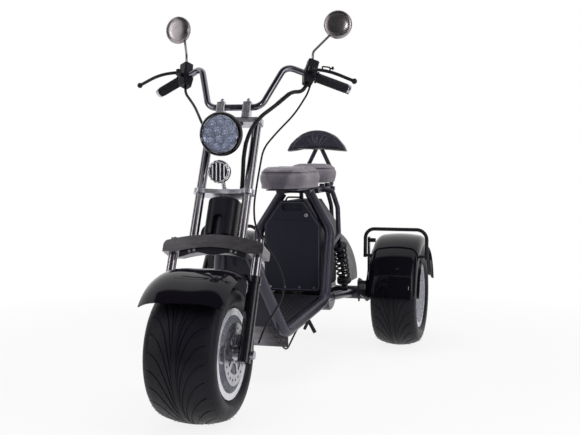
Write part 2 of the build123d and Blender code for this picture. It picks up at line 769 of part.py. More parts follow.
# ---- saddles and what carries them ------------------------------------------------------
saddle_bottom_z = 685.5
passenger_bottom_z = saddle_bottom_z + 12
seat_bar_z = 672.0
seat_bar_radius = 13.0
stay_points = [
    from_front(84, 1226, seat_bar_z),
    from_front(112, 1226, seat_bar_z - 6),
    from_front(138, 1214, 600),
    from_front(146, 1202, 474),
]
with BuildPart() as seat_frame:
    for side in (1, -1):
        straight_bar(sided(from_front(58, 1022, seat_bar_z), side), sided(from_front(58, 1390, seat_bar_z), side), seat_bar_radius)
        bent_bar([sided(p, side) for p in stay_points], [18, 60], 10)
    for y in (1110, 1226, 1380):
        straight_bar(from_front(-84, y, seat_bar_z), from_front(84, y, seat_bar_z), 10)
    with BuildSketch(Plane.XY.offset(saddle_bottom_z - 0.5)):
        with Locations(from_front(0, 965, 0)):
            RectangleRounded(128, 250, 30)
    extrude(amount=-4)
    for side in (1, -1):
        straight_bar(sided(from_front(146, 1202, 488), side), sided(from_front(147, 1036, 440), side), 10)
        for y in (1262, 1352):
            pad_foot = sided(from_front(58, y, seat_bar_z), side)
            straight_bar(pad_foot, pad_foot + Vector(0, 0, passenger_bottom_z - 0.5 - seat_bar_z), 11)
    add(left_rail.part, mode=Mode.SUBTRACT)
    add(right_rail.part, mode=Mode.SUBTRACT)
    add(battery_case.part, mode=Mode.SUBTRACT)
save(seat_frame, "seat_frame")


def saddle_section(outline, plane, inset):
    """The plan of a saddle, widest a little behind its middle, drawn in by inset."""
    nose, tail, nose_half, widest_half, tail_half = outline
    waist = nose * 0.45 + tail * 0.55
    with BuildSketch(plane) as section:
        with BuildLine():
            Spline(
                (0, nose + inset),
                (nose_half - inset, nose + 24 + inset * 0.4),
                (widest_half - inset, waist),
                (tail_half - inset, tail - 18 - inset * 0.4),
                (0, tail - inset),
                (inset - tail_half, tail - 18 - inset * 0.4),
                (inset - widest_half, waist),
                (inset - nose_half, nose + 24 + inset * 0.4),
                periodic=True,
            )
        make_face()
    return section.sketch


def build_saddle(outline, base_z, height):
    """A closed solid of the saddle's size: flat base, upright sides, crowned top."""
    low = Plane.XY.offset(base_z)
    with BuildPart() as saddle:
        loft(
            sections=[
                saddle_section(outline, low, 7),
                saddle_section(outline, low.offset(height * 0.3), 0),
                saddle_section(outline, low.offset(height * 0.72), 2),
                saddle_section(outline, low.offset(height * 0.92), 14),
                saddle_section(outline, low.offset(height), 46),
            ]
        )
    return saddle


driver_outline = (front_axle_y + 790, front_axle_y + 1150, 66, 100, 74)
driver_saddle = build_saddle(driver_outline, saddle_bottom_z, 84)
save(driver_saddle, "driver_saddle")
passenger_outline = (front_axle_y + 1212, front_axle_y + 1412, 78, 98, 86)
passenger_saddle = build_saddle(passenger_outline, passenger_bottom_z, 80)
save(passenger_saddle, "passenger_saddle")

back_y = 1400.0
back_tip_z = 842.0
with BuildPart() as backrest_pad:
    pad_plane = Plane(origin=from_front(0, back_y, back_tip_z - 8), x_dir=(1, 0, 0), z_dir=(0, -1, 0.12))
    with BuildSketch(pad_plane):
        with BuildLine():
            ThreePointArc((-133, 6), (0, 92), (133, 6))
            ThreePointArc((133, 6), (134, -2), (126, -4))
            ThreePointArc((126, -4), (0, 2), (-126, -4))
            ThreePointArc((-126, -4), (-134, -2), (-133, 6))
        make_face()
    extrude(amount=22, both=True)
save(backrest_pad, "backrest_pad")

back_stay_points = [
    from_front(4, 1434, 860),
    from_front(58, 1431, 750),
    from_front(58, 1429, 690),
    from_front(58, 1390, seat_bar_z - 3),
]
with BuildPart() as backrest_stay:
    for side in (1, -1):
        bent_bar([sided(p, side) for p in back_stay_points], [60, 14], 9)
    straight_bar(from_front(-30, 1436, 868), from_front(30, 1436, 868), 9)
    add(seat_frame.part, mode=Mode.SUBTRACT)
    add(backrest_pad.part, mode=Mode.SUBTRACT)
save(backrest_stay, "backrest_stay")

# ---- rear end ----------------------------------------------------------------------------
arm_x = 150.0
shock_foot_y = wheelbase - 130.0
shock_foot_z = 257.0
pivot_y = 1058.0
pivot_z = 250.0
with BuildPart() as swing_arm:
    for x in (-arm_x, arm_x):
        straight_bar(from_front(x, pivot_y, pivot_z), from_front(x, wheelbase - 24, tyre_radius), 17)
    straight_bar(from_front(-arm_x, pivot_y, pivot_z), from_front(arm_x, pivot_y, pivot_z), 14)
    for x in (-arm_x, arm_x):
        straight_bar(from_front(x - 10, shock_foot_y, shock_foot_z), from_front(x + 10, shock_foot_y, shock_foot_z), 16)
    for x in (-arm_x, arm_x):
        direction = 1 if x > 0 else -1
        straight_bar(from_front(x, pivot_y, pivot_z), from_front(x - direction * 6, 985, 260), 15)
    add(left_rail.part, mode=Mode.SUBTRACT)
    add(right_rail.part, mode=Mode.SUBTRACT)
    add(battery_case.part, mode=Mode.SUBTRACT)
    add(floor_pan.part, mode=Mode.SUBTRACT)
save(swing_arm, "swing_arm")

axle_beam_radius = 28.0
beam_half = 232.0
rear_middle = Vector(0, rear_axle_y, tyre_radius)
with BuildPart() as rear_axle:
    straight_bar(rear_middle - Vector(beam_half, 0, 0), rear_middle + Vector(beam_half, 0, 0), axle_beam_radius)
    with BuildSketch(Plane(origin=rear_middle, x_dir=(0, 1, 0), z_dir=(1, 0, 0))) as drum:
        Circle(84)
    extrude(amount=62, both=True)
    fillet(rear_axle.edges().filter_by(GeomType.CIRCLE).filter_by(lambda e: abs(e.radius - 84) < 0.1), 12)
    for side in (1, -1):
        inner = rear_middle + Vector(side * beam_half, 0, 0)
        hub_face = rear_middle + Vector(side * (rear_half_track - rear_hub_half - 0.4), 0, 0)
        outer = rear_middle + Vector(side * (rear_half_track + rear_hub_half + 16), 0, 0)
        straight_bar(inner, hub_face, 17)
        straight_bar(hub_face, outer, rear_axle_radius)
        straight_bar(outer - Vector(side * 15.6, 0, 0), outer, 16)
    add(swing_arm.part, mode=Mode.SUBTRACT)
save(rear_axle, "rear_axle")

shock_top = from_front(146, 1202, 464)
shock_foot = from_front(arm_x, shock_foot_y, shock_foot_z)
coil_radius = 24.0
wire_radius = 4.5
coil_turns = 6.5
with BuildPart() as rear_shocks:
    for side in (1, -1):
        top = sided(shock_top, side)
        foot = sided(shock_foot, side)
        run = (foot - top).normalized()
        across = Vector(10, 0, 0)
        straight_bar(top - across, top + across, 13)
        straight_bar(top, foot, 7)
        straight_bar(top + run * 26, top + run * 96, 15)
        straight_bar(top + run * 22, top + run * 30, coil_radius + 6)
        straight_bar(foot - run * 36, foot - run * 28, coil_radius + 6)
        coil_start = top + run * (30 + wire_radius - 1)
        coil_length = (foot - run * (36 + wire_radius - 1) - coil_start).length
        with BuildLine() as coil:
            Helix(
                pitch=coil_length / coil_turns,
                height=coil_length,
                radius=coil_radius,
                center=coil_start,
                direction=run,
            )
        with BuildSketch(Plane(origin=coil.line @ 0, z_dir=coil.line % 0)) as wire_section:
            Circle(wire_radius)
        sweep(sections=wire_section.sketch, path=coil.line, is_frenet=True)
    add(swing_arm.part, mode=Mode.SUBTRACT)
    add(seat_frame.part, mode=Mode.SUBTRACT)
save(rear_shocks, "rear_shocks")

fender_inner_x = rear_half_track - rear_tyre_width / 2 - 15
fender_outer_x = rear_half_track + rear_tyre_width / 2 + fender_side_gap
fender_skirt = 56.0
fender_start = 3.5
fender_arc = 163.0


def fender_section(side, inset):
    """The fender's cross-section: crowned top, rounded shoulders, sides turned down."""
    middle = side * (fender_inner_x + fender_outer_x) / 2
    low_half = (fender_outer_x - fender_inner_x) / 2 - inset
    high_half = low_half - 10
    crown_half = high_half - 34
    top = fender_radius - inset
    bottom = fender_radius - fender_skirt
    with BuildSketch() as section:
        with BuildLine():
            ThreePointArc((middle - crown_half, top - 5), (middle, top), (middle + crown_half, top - 5))
            Spline(
                (middle + crown_half, top - 5),
                (middle + high_half, top - 42),
                tangents=[(1, -0.12), (0.06, -1)],
            )
            Polyline(
                (middle + high_half, top - 42),
                (middle + low_half, bottom),
                (middle - low_half, bottom),
                (middle - high_half, top - 42),
            )
            Spline(
                (middle - high_half, top - 42),
                (middle - crown_half, top - 5),
                tangents=[(0.06, 1), (1, 0.12)],
            )
        make_face()
    return section.sketch


def build_fender(side):
    """A wheel cover: front, top and back in one curved shell."""
    start = math.radians(fender_start)
    plane = Plane(origin=rear_middle, x_dir=(1, 0, 0), z_dir=(0, -math.sin(start), -math.cos(start)))
    with BuildPart() as fender:
        with BuildSketch(plane):
            add(fender_section(side, 0))
            add(fender_section(side, fender_wall), mode=Mode.SUBTRACT)
        revolve(axis=Axis(rear_middle, (-1, 0, 0)), revolution_arc=fender_arc)
    return fender


for side, side_name in ((1, "left"), (-1, "right")):
    rear_fender = build_fender(side)
    save(rear_fender, f"rear_fender_{side_name}")
    if side == 1:
        left_fender = rear_fender
    else:
        right_fender = rear_fender

guard_y = wheelbase - 130.0
guard_radius = 7.5
guard_in = fender_inner_x - 17.0
guard_out = fender_outer_x + 17.0
guard_points = [
    from_front(guard_in, guard_y - 4, 388),
    from_front(guard_in, guard_y, 507),
    from_front(guard_out, guard_y, 507),
    from_front(guard_out, guard_y - 4, 384),
]
with BuildPart() as fender_guards:
    for side in (1, -1):
        bent_bar([sided(p, side) for p in guard_points], [38, 42], guard_radius)
        for x, wall_x in ((guard_in, fender_inner_x + 12), (guard_out, fender_outer_x - 12)):
            on_guard = sided(from_front(x, guard_y - 4, 396), side)
            straight_bar(on_guard, sided(from_front(wall_x, guard_y - 4, 396), side), 6)
    add(left_fender.part, mode=Mode.SUBTRACT)
    add(right_fender.part, mode=Mode.SUBTRACT)
save(fender_guards, "fender_guards")

bracket_x = 226.0
bracket_thickness = 6.0
with BuildPart() as fender_brackets:
    for side in (1, -1):
        plate_plane = Plane(origin=from_front(side * bracket_x, 0, 0), x_dir=(0, 1, 0), z_dir=(1, 0, 0))
        with BuildSketch(plate_plane):
            with BuildLine():
                Polyline(
                    (wheelbase - 40, 186),
                    (wheelbase + 40, 186),
                    (wheelbase + 40, 250),
                    (wheelbase + 16, 300),
                    (wheelbase + 16, 462),
                    (wheelbase - 16, 462),
                    (wheelbase - 16, 300),
                    (wheelbase - 60, 268),
                    (wheelbase - 194, 306),
                    (wheelbase - 218, 296),
                    (wheelbase - 218, 236),
                    (wheelbase - 198, 208),
                    (wheelbase - 184, 236),
                    close=True,
                )
            make_face()
        extrude(amount=bracket_thickness / 2, both=True)
        for y, z in ((wheelbase, 448), (wheelbase - 202, 288)):
            straight_bar(from_front(side * bracket_x, y, z), from_front(side * fender_inner_x, y, z), 9)
    straight_bar(rear_middle - Vector(400, 0, 0), rear_middle + Vector(400, 0, 0), axle_beam_radius, Mode.SUBTRACT)
save(fender_brackets, "fender_brackets")

lamp_angle = math.radians(38)
with BuildPart() as tail_lights:
    for side in (1, -1):
        lamp_out = Vector(0, math.cos(lamp_angle), math.sin(lamp_angle))
        lamp_face = rear_middle + Vector(side * rear_half_track, 0, 0) + lamp_out * (fender_radius - 2)
        with BuildSketch(Plane(origin=lamp_face, x_dir=(1, 0, 0), z_dir=lamp_out)) as lamp_foot:
            RectangleRounded(84, 34, 12)
        extrude(lamp_foot.sketch, amount=18)
    add(left_fender.part, mode=Mode.SUBTRACT)
    add(right_fender.part, mode=Mode.SUBTRACT)
save(tail_lights, "tail_lights")

hood_half = 151.0
hood_foot_z = 268.0
hood_top_z = 486.0
hood_wall = 4.0
hood_front_y = wheelbase - 84.0
hood_back_y = wheelbase + 106.0
hood_plane = Plane(origin=from_front(0, hood_front_y, 0), x_dir=(1, 0, 0), z_dir=(0, -1, 0))


def hood_section(inset):
    """The filled arch of the mudguard between the rear wheels."""
    with BuildSketch(hood_plane) as arch:
        with BuildLine():
            curve = Spline(
                (inset - hood_half, hood_foot_z - inset),
                (inset - 128, 392 - inset * 0.4),
                (inset * 0.6 - 68, 470 - inset * 0.9),
                (0, hood_top_z - inset),
                (68 - inset * 0.6, 470 - inset * 0.9),
                (128 - inset, 392 - inset * 0.4),
                (hood_half - inset, hood_foot_z - inset),
            )
            Line(curve @ 1, curve @ 0)
        make_face()
    return arch.sketch


hood_length = hood_back_y - hood_front_y
with BuildPart() as rear_mudguard:
    extrude(hood_section(0), amount=-hood_length)
    extrude(hood_section(hood_wall), amount=-hood_length, mode=Mode.SUBTRACT)
save(rear_mudguard, "rear_mudguard")

with BuildPart() as rear_hoop:
    for side in (1, -1):
        hoop_points = [
            from_front(58, 1350, seat_bar_z - 6),
            from_front(66, wheelbase - 38, 600),
            from_front(62, wheelbase + 10, 460),
        ]
        bent_bar([sided(p, side) for p in hoop_points], [120], 9)
    extrude(hood_section(0), amount=-hood_length, mode=Mode.SUBTRACT)
    add(seat_frame.part, mode=Mode.SUBTRACT)
save(rear_hoop, "rear_hoop")

with BuildPart() as rail_brackets:
    for side in (1, -1):
        apex = sided(from_front(142, 740, 220 - rail_radius + 3), side)
        straight_bar(apex, apex + Vector(-side * 18, 8, -34), 6)
        straight_bar(apex, apex + Vector(side * 26, -4, -44), 7)
    add(left_rail.part, mode=Mode.SUBTRACT)
    add(right_rail.part, mode=Mode.SUBTRACT)
save(rail_brackets, "rail_brackets")


# ---- hose and looms that the fork carries --------------------------------------------------
def route_radii(points, name):
    """The largest arcs that the runs beside each corner leave room for."""
    radii = []
    for before, corner, after in zip(points, points[1:], points[2:]):
        arriving = corner - before
        leaving = after - corner
        turn = math.radians(arriving.get_angle(leaving))
        radii.append(0.45 * min(arriving.length, leaving.length) / math.tan(turn / 2))
    print(name, "radii", [round(r) for r in radii])
    return radii


left_loom_radius = 6.5
right_loom_radius = 4.5
loom_start = sided(switch_mid - switch_up * 36, 1)
left_loom = [
    loom_start,
    loom_start - switch_up * 30 - Vector(8, 6, 0),
    on_fork(178, -4, 898),
    on_fork(138, -32, 834),
    on_fork(102, -59, 782),
    on_fork(76, -61, 738),
    on_fork(62, -54, 692),
    on_fork(57, -44, 642),
    on_fork(58, -30, 590),
    on_fork(56, -14, yoke_along + yoke_thickness),
]
right_loom = [
    sided(loom_start, -1),
    sided(loom_start - switch_up * 30 - Vector(6, 6, 0), -1),
    from_front(-154, 352, 985),
    from_front(-112, 288, 945),
    from_front(-80, 252, 905),
    from_front(-48, 246, 880),
]
with BuildPart() as control_looms:
    bent_bar(left_loom, route_radii(left_loom, "left loom"), left_loom_radius)
    bent_bar(right_loom, route_radii(right_loom, "right loom"), right_loom_radius)
    add(headlight.part, mode=Mode.SUBTRACT)
    add(top_yoke.part, mode=Mode.SUBTRACT)
    add(switch_housings.part, mode=Mode.SUBTRACT)
save(control_looms, "control_looms")

hose_radius = 3.2
hose_start = loom_start + bar_direction * 12
brake_hose_route = [
    hose_start,
    hose_start - switch_up * 34 - Vector(3, -4, 0),
    from_front(186, 400, 958),
    from_front(132, 352, 890),
    on_fork(100, 14, 700),
    on_fork(94, 17, 600),
    on_fork(92, 18, 500),
    on_fork(104, 22, 430),
    on_fork(146, 36, 370),
    on_fork(184, 62, 318),
    on_fork(205, 90, 270),
    on_fork(202, 98, 216),
    on_fork(180, 98, 168),
    on_fork(158, 92, 118),
    on_fork(146, 84, 62),
]
with BuildPart() as brake_hose:
    bent_bar(brake_hose_route, route_radii(brake_hose_route, "brake hose"), hose_radius)
    add(brake_caliper.part, mode=Mode.SUBTRACT)
    add(switch_housings.part, mode=Mode.SUBTRACT)
save(brake_hose, "brake_hose")

# ---- brake line that the frame carries -------------------------------------------------------
line_radius = 3.2
rear_line_route = [
    from_front(98, 452, 280),
    from_front(106, 462, 214),
    from_front(112, 500, 146),
    from_front(114, 552, 127),
    from_front(114, 606, 150),
    from_front(118, 690, 190),
    from_front(130, 860, 211),
    from_front(130, 990, 216),
    from_front(92, wheelbase - 300, 224),
    from_front(48, wheelbase - 160, 222),
    from_front(44, wheelbase - 60, 220),
]
with BuildPart() as rear_brake_line:
    bent_bar(rear_line_route, route_radii(rear_line_route, "rear brake line"), line_radius)
    add(left_rail.part, mode=Mode.SUBTRACT)
    add(rear_axle.part, mode=Mode.SUBTRACT)
save(rear_brake_line, "rear_brake_line")
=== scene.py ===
# %% [markdown]
# # Electric tricycle: looks around a imported frame
# The imported model already holds every tube, wheel and bracket at its true size.
# This notebook gives each of them a finish, and adds what is too fine for the
# frame: tread, cushions with seams, lamp glass, bolts and rubber rings.
# Blender starts with a cube, a lamp and a camera, which are thrown out first. Then
# the frame is loaded.

import json
import math

import bmesh
import bpy
import numpy as np
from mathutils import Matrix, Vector
from mathutils.bvhtree import BVHTree

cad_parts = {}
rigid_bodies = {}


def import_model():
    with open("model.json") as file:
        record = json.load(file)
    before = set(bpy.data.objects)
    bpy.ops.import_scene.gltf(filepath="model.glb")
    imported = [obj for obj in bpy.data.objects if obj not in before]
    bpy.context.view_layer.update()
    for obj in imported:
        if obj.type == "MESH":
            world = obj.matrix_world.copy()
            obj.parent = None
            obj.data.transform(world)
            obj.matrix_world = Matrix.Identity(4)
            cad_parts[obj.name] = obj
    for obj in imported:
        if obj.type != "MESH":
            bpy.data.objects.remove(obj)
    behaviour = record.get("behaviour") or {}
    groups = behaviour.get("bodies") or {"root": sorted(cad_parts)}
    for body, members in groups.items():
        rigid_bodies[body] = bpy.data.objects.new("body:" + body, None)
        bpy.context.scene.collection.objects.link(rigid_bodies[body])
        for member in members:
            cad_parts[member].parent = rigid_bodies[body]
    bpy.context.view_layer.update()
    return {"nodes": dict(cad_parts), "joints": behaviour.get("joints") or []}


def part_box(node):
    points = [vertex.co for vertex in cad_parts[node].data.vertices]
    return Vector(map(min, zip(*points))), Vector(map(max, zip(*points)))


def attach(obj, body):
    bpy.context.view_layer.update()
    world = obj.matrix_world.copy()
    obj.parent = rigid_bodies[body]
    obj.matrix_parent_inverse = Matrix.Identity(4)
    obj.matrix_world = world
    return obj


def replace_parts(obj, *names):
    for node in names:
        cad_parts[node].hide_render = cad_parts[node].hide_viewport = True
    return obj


for leftover in list(bpy.data.objects):
    bpy.data.objects.remove(leftover, do_unlink=True)
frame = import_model()

# %% [markdown]
# Most pieces are placed from the boxes of the parts that they sit on. The steering
# joint gives the slant of the fork, which is a handy second set of axes: along the
# fork, and backwards from it. The wheels' middles are named once, in metres.


# %% Places to build from
def box_of(node):
    low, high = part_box(node)
    return Vector(low), Vector(high)


def middle_of(node):
    low, high = box_of(node)
    return (low + high) / 2


steering = next(j for j in frame["joints"] if j["name"] == "steering_turn")
fork_up = Vector(steering["axis"]).normalized()
fork_back = Vector((0, fork_up.z, -fork_up.y))
fork_foot = Vector(steering["pos_m"])
forward = Vector((0, -1, 0))
sides = ((1, "left"), (-1, "right"))
rear_axle_y, axle_height, half_track = 0.693, 0.218, 0.365
wheels = {
    "front_wheel": (0, -0.737, axle_height),
    "rear_wheel_left": (half_track, rear_axle_y, axle_height),
    "rear_wheel_right": (-half_track, rear_axle_y, axle_height),
}


def on_fork(x, back, along):
    """A point in metres given across, behind the steering axis and up along it."""
    return fork_foot + Vector((x, 0, 0)) + fork_back * back + fork_up * along


def on_side(point, side):
    """A point of the left side, or its mirror image on the right."""
    return Vector((point[0] * side, point[1], point[2]))


print("wheels", wheels, "fork", [round(v, 3) for v in fork_up])

# %% [markdown]
# ## Finishes
# Materials, groups and Geometry Nodes are all trees of nodes. A small class keeps
# their wiring short: it adds nodes under short names, sets a socket by "node.Socket"
# or a property by "node:property", and links sockets from lines of text. A socket
# whose name is not unique is given by its number instead.


# %% A patch panel for node trees
class Patch:
    def __init__(self, tree, **known):
        self.tree, self.nodes = tree, known

    def add(self, **kinds):
        for name, kind in kinds.items():
            self.nodes[name] = self.tree.nodes.new(kind)

    def socket(self, spot, end):
        name, label = spot.strip().split(".")
        sockets = getattr(self.nodes[name], end)
        return sockets[int(label) if label.isdigit() else label]

    def preset(self, values):
        for spot, value in values.items():
            if ":" in spot:
                name, trait = spot.split(":")
                setattr(self.nodes[name], trait, value)
            else:
                self.socket(spot, "inputs").default_value = value

    def wire(self, lines):
        for line in lines.strip().splitlines():
            start, stop = line.split(" > ")
            self.tree.links.new(self.socket(start, "outputs"), self.socket(stop, "inputs"))


def group_patch(kind, name, inputs, outputs):
    """A new node group; sockets are (label, type, default or None) and (label, type)."""
    tree = bpy.data.node_groups.new(name, kind)
    for label, value_type, value in inputs:
        socket = tree.interface.new_socket(label, in_out="INPUT", socket_type="NodeSocket" + value_type)
        if value is not None:
            socket.default_value = value
    for label, value_type in outputs:
        tree.interface.new_socket(label, in_out="OUTPUT", socket_type="NodeSocket" + value_type)
    return Patch(tree, given=tree.nodes.new("NodeGroupInput"), result=tree.nodes.new("NodeGroupOutput"))


def material_patch(name):
    material = bpy.data.materials.new(name)
    material.use_nodes = True
    nodes = material.node_tree.nodes
    patch = Patch(material.node_tree, shader=nodes["Principled BSDF"], output=nodes["Material Output"])
    return material, patch


print("patch panel ready")

# %% [markdown]
# Real surfaces are never quite even. Two small shader groups bring that to all the
# materials: one makes a value that drifts between two limits, for gloss, and one
# makes the tiny hills of a cast or moulded skin. A group is built once and placed in
# each material with its own numbers, so every finish stays easy to tune.


# %% Shader groups
def build_drift():
    """Noise stretched between Low and High."""
    inputs = [("Vector", "Vector", None), ("Scale", "Float", 8.0), ("Low", "Float", 0.3), ("High", "Float", 0.5)]
    patch = group_patch("ShaderNodeTree", "Drift", inputs, [("Value", "Float")])
    patch.add(noise="ShaderNodeTexNoise", stretch="ShaderNodeMapRange")
    patch.preset({"noise.Detail": 5, "stretch.From Min": 0.3, "stretch.From Max": 0.7})
    patch.wire(
        """
        given.Vector > noise.Vector
        given.Scale > noise.Scale
        noise.Fac > stretch.Value
        given.Low > stretch.To Min
        given.High > stretch.To Max
        stretch.Result > result.Value
        """
    )
    return patch.tree


def build_grain():
    """Pebbled height: cells for the grain, noise so that no two cells match."""
    inputs = [("Vector", "Vector", None), ("Scale", "Float", 600.0), ("Softness", "Float", 0.5)]
    patch = group_patch("ShaderNodeTree", "Grain", inputs, [("Height", "Float")])
    patch.add(cells="ShaderNodeTexVoronoi", noise="ShaderNodeTexNoise", blend="ShaderNodeMix")
    patch.preset({"cells:feature": "SMOOTH_F1", "cells.Smoothness": 0.6, "noise.Detail": 4})
    patch.wire(
        """
        given.Vector > cells.Vector
        given.Vector > noise.Vector
        given.Scale > cells.Scale
        given.Scale > noise.Scale
        given.Softness > blend.Factor
        cells.Distance > blend.2
        noise.Fac > blend.3
        blend.0 > result.Height
        """
    )
    return patch.tree


drift_group = build_drift()
grain_group = build_grain()
print("groups", [g.name for g in bpy.data.node_groups])

# %% [markdown]
# One helper writes a whole material. The colour drifts between two close shades,
# the roughness drifts too, and a pebbled skin can be added through a Bump node.
# Everything that is the same all over goes straight on the shader's own sockets.


# %% Material helper
gloss_to_colour_drift = 2.3
grain_height = 0.0006


def finish(
    name, shade, other_shade, rough, metallic=0.0, drift=9.0, grain=0.0, grain_scale=700.0, stretch=None, **same
):
    material, patch = material_patch(name)
    patch.add(place="ShaderNodeTexCoord", tint="ShaderNodeMix")
    vector = "place.Object"
    if stretch:
        patch.add(mapping="ShaderNodeMapping")
        patch.preset({"mapping.Scale": stretch})
        patch.wire("place.Object > mapping.Vector")
        vector = "mapping.Vector"
    for drifting, scale, low, high in (("tone", drift, 0.0, 1.0), ("gloss", drift * gloss_to_colour_drift, *rough)):
        patch.add(**{drifting: "ShaderNodeGroup"})
        patch.preset({f"{drifting}:node_tree": drift_group})
        patch.preset({f"{drifting}.Scale": scale, f"{drifting}.Low": low, f"{drifting}.High": high})
        patch.wire(f"{vector} > {drifting}.Vector")
    patch.preset({"tint:data_type": "RGBA", "tint.6": (*shade, 1), "tint.7": (*other_shade, 1)})
    patch.wire("tone.Value > tint.0\n tint.2 > shader.Base Color\n gloss.Value > shader.Roughness")
    if grain:
        patch.add(pebbles="ShaderNodeGroup", bump="ShaderNodeBump")
        patch.preset({"pebbles:node_tree": grain_group})
        patch.preset({"pebbles.Scale": grain_scale, "bump.Strength": grain, "bump.Distance": grain_height})
        patch.wire(f"{vector} > pebbles.Vector\n pebbles.Height > bump.Height\n bump.Normal > shader.Normal")
    patch.preset({"shader.Metallic": metallic})
    patch.preset({"shader." + socket.replace("_", " "): value for socket, value in same.items()})
    return material


# %% [markdown]
# The tricycle's own finishes: first paints and metals, then rubber, plastic and
# leather, then lamps and mirrors. The frame is satin charcoal with a thin lacquer,
# the fenders are deep gloss black, and the fork tubes are darker chrome than the trim.

# %% Paints and metals
frame_paint = finish(
    "frame_paint", (0.040, 0.037, 0.054), (0.051, 0.047, 0.067), (0.30, 0.40), 0.55,
    drift=5, grain=0.05, grain_scale=1800, Specular_IOR_Level=0.3, Coat_Weight=0.12, Coat_Roughness=0.2,
)
gloss_black = finish(
    "gloss_black", (0.003, 0.003, 0.005), (0.005, 0.004, 0.007), (0.05, 0.09),
    drift=4, Specular_IOR_Level=0.16, Coat_Weight=0.15, Coat_Roughness=0.04,
)
satin_black = finish(
    "satin_black", (0.006, 0.006, 0.010), (0.010, 0.009, 0.015), (0.30, 0.42), 0.1,
    drift=12, grain=0.08, grain_scale=1500, Specular_IOR_Level=0.3,
)
leg_black = finish(
    "leg_black", (0.006, 0.006, 0.009), (0.010, 0.009, 0.014), (0.14, 0.22), 0.2,
    drift=8, Specular_IOR_Level=0.3, Coat_Weight=0.5, Coat_Roughness=0.08,
)
pewter = finish(
    "pewter", (0.26, 0.245, 0.265), (0.17, 0.158, 0.178), (0.17, 0.28), 1.0, drift=14, stretch=(1, 4, 4)
)
chrome = finish("chrome", (0.66, 0.65, 0.69), (0.58, 0.57, 0.61), (0.06, 0.12), 1.0, drift=6)
fork_chrome = finish("fork_chrome", (0.38, 0.36, 0.395), (0.29, 0.275, 0.305), (0.09, 0.16), 1.0, drift=6)
dark_chrome = finish("dark_chrome", (0.26, 0.25, 0.29), (0.20, 0.19, 0.22), (0.10, 0.18), 1.0, drift=6)
alloy = finish("alloy", (0.68, 0.68, 0.73), (0.58, 0.58, 0.63), (0.24, 0.34), 0.95, drift=20)
rim_alloy = finish("rim_alloy", (0.72, 0.72, 0.77), (0.69, 0.69, 0.74), (0.24, 0.29), 0.5, drift=16)
steel = finish("steel", (0.45, 0.45, 0.48), (0.36, 0.36, 0.39), (0.24, 0.36), 1.0, drift=30)
# A pale grey for the painted highlight along the battery cover's bevelled edge.
edge_grey = finish("edge_grey", (0.13, 0.13, 0.17), (0.10, 0.10, 0.14), (0.34, 0.44), 0.2, drift=12)
print(len(bpy.data.materials), "paints and metals")

# %% Rubber, plastic and leather
tyre_rubber = finish(
    "tyre_rubber", (0.004, 0.004, 0.007), (0.007, 0.007, 0.012), (0.38, 0.50),
    drift=10, grain=0.08, grain_scale=1400, Specular_IOR_Level=0.2,
)
soft_rubber = finish(
    "soft_rubber", (0.008, 0.008, 0.011), (0.014, 0.013, 0.018), (0.50, 0.66),
    drift=14, grain=0.12, grain_scale=1600, Specular_IOR_Level=0.25,
)
box_plastic = finish(
    "box_plastic", (0.012, 0.012, 0.021), (0.015, 0.015, 0.026), (0.42, 0.52),
    drift=6, grain=0.14, grain_scale=1500, Specular_IOR_Level=0.2,
)
black_plastic = finish(
    "black_plastic", (0.004, 0.004, 0.007), (0.008, 0.007, 0.012), (0.30, 0.42),
    drift=10, grain=0.10, grain_scale=1300, Specular_IOR_Level=0.3,
)
saddle_leather = finish(
    "saddle_leather", (0.135, 0.118, 0.142), (0.185, 0.165, 0.192), (0.38, 0.54),
    drift=24, grain=0.30, grain_scale=420, Sheen_Weight=0.12, Specular_IOR_Level=0.32,
)
dark_leather = finish(
    "dark_leather", (0.018, 0.017, 0.026), (0.028, 0.026, 0.040), (0.26, 0.36),
    drift=20, grain=0.22, grain_scale=420, Specular_IOR_Level=0.45,
)
# A darker copy of the saddle leather: painted shade on the nose panel of the driver's saddle.
nose_leather = finish(
    "nose_leather", (0.085, 0.076, 0.094), (0.120, 0.108, 0.130), (0.34, 0.48),
    drift=24, grain=0.30, grain_scale=420, Specular_IOR_Level=0.32,
)
thread = finish("thread", (0.05, 0.045, 0.055), (0.09, 0.08, 0.09), (0.6, 0.75), drift=60)
cable_black = finish(
    "cable_black", (0.004, 0.004, 0.006), (0.008, 0.008, 0.011), (0.38, 0.52),
    drift=18, grain=0.08, grain_scale=1500, Specular_IOR_Level=0.3,
)
print(len(bpy.data.materials), "materials so far")

# %% Lamps and mirrors
red_lens = finish("red_lens", (0.42, 0.010, 0.012), (0.34, 0.006, 0.010), (0.10, 0.18), drift=20, Coat_Weight=0.8)
white_reflector = finish(
    "white_reflector", (0.42, 0.46, 0.62), (0.28, 0.32, 0.48), (0.14, 0.26), 0.85, drift=30
)
lamp_silver = finish("lamp_silver", (0.30, 0.33, 0.44), (0.22, 0.25, 0.35), (0.16, 0.28), 0.9, drift=30)
lamp_core = finish(
    "lamp_core", (0.40, 0.45, 0.62), (0.30, 0.35, 0.52), (0.10, 0.18), 0.3, drift=40, Coat_Weight=0.8
)
clear_cover = finish("clear_cover", (0.55, 0.60, 0.75), (0.48, 0.54, 0.70), (0.03, 0.06), drift=8, Alpha=0.14)
mirror_glass = finish("mirror_glass", (0.86, 0.88, 0.90), (0.82, 0.84, 0.87), (0.01, 0.03), 1.0, drift=4)
mirror_chrome = finish("mirror_chrome", (0.44, 0.40, 0.41), (0.34, 0.31, 0.33), (0.22, 0.30), 1.0, drift=5)
print(len(bpy.data.materials), "materials")

# %% [markdown]
# Each part of the frame keeps its shape and only gets its finish. A dictionary from
# finish to part names keeps the list short and easy to read.

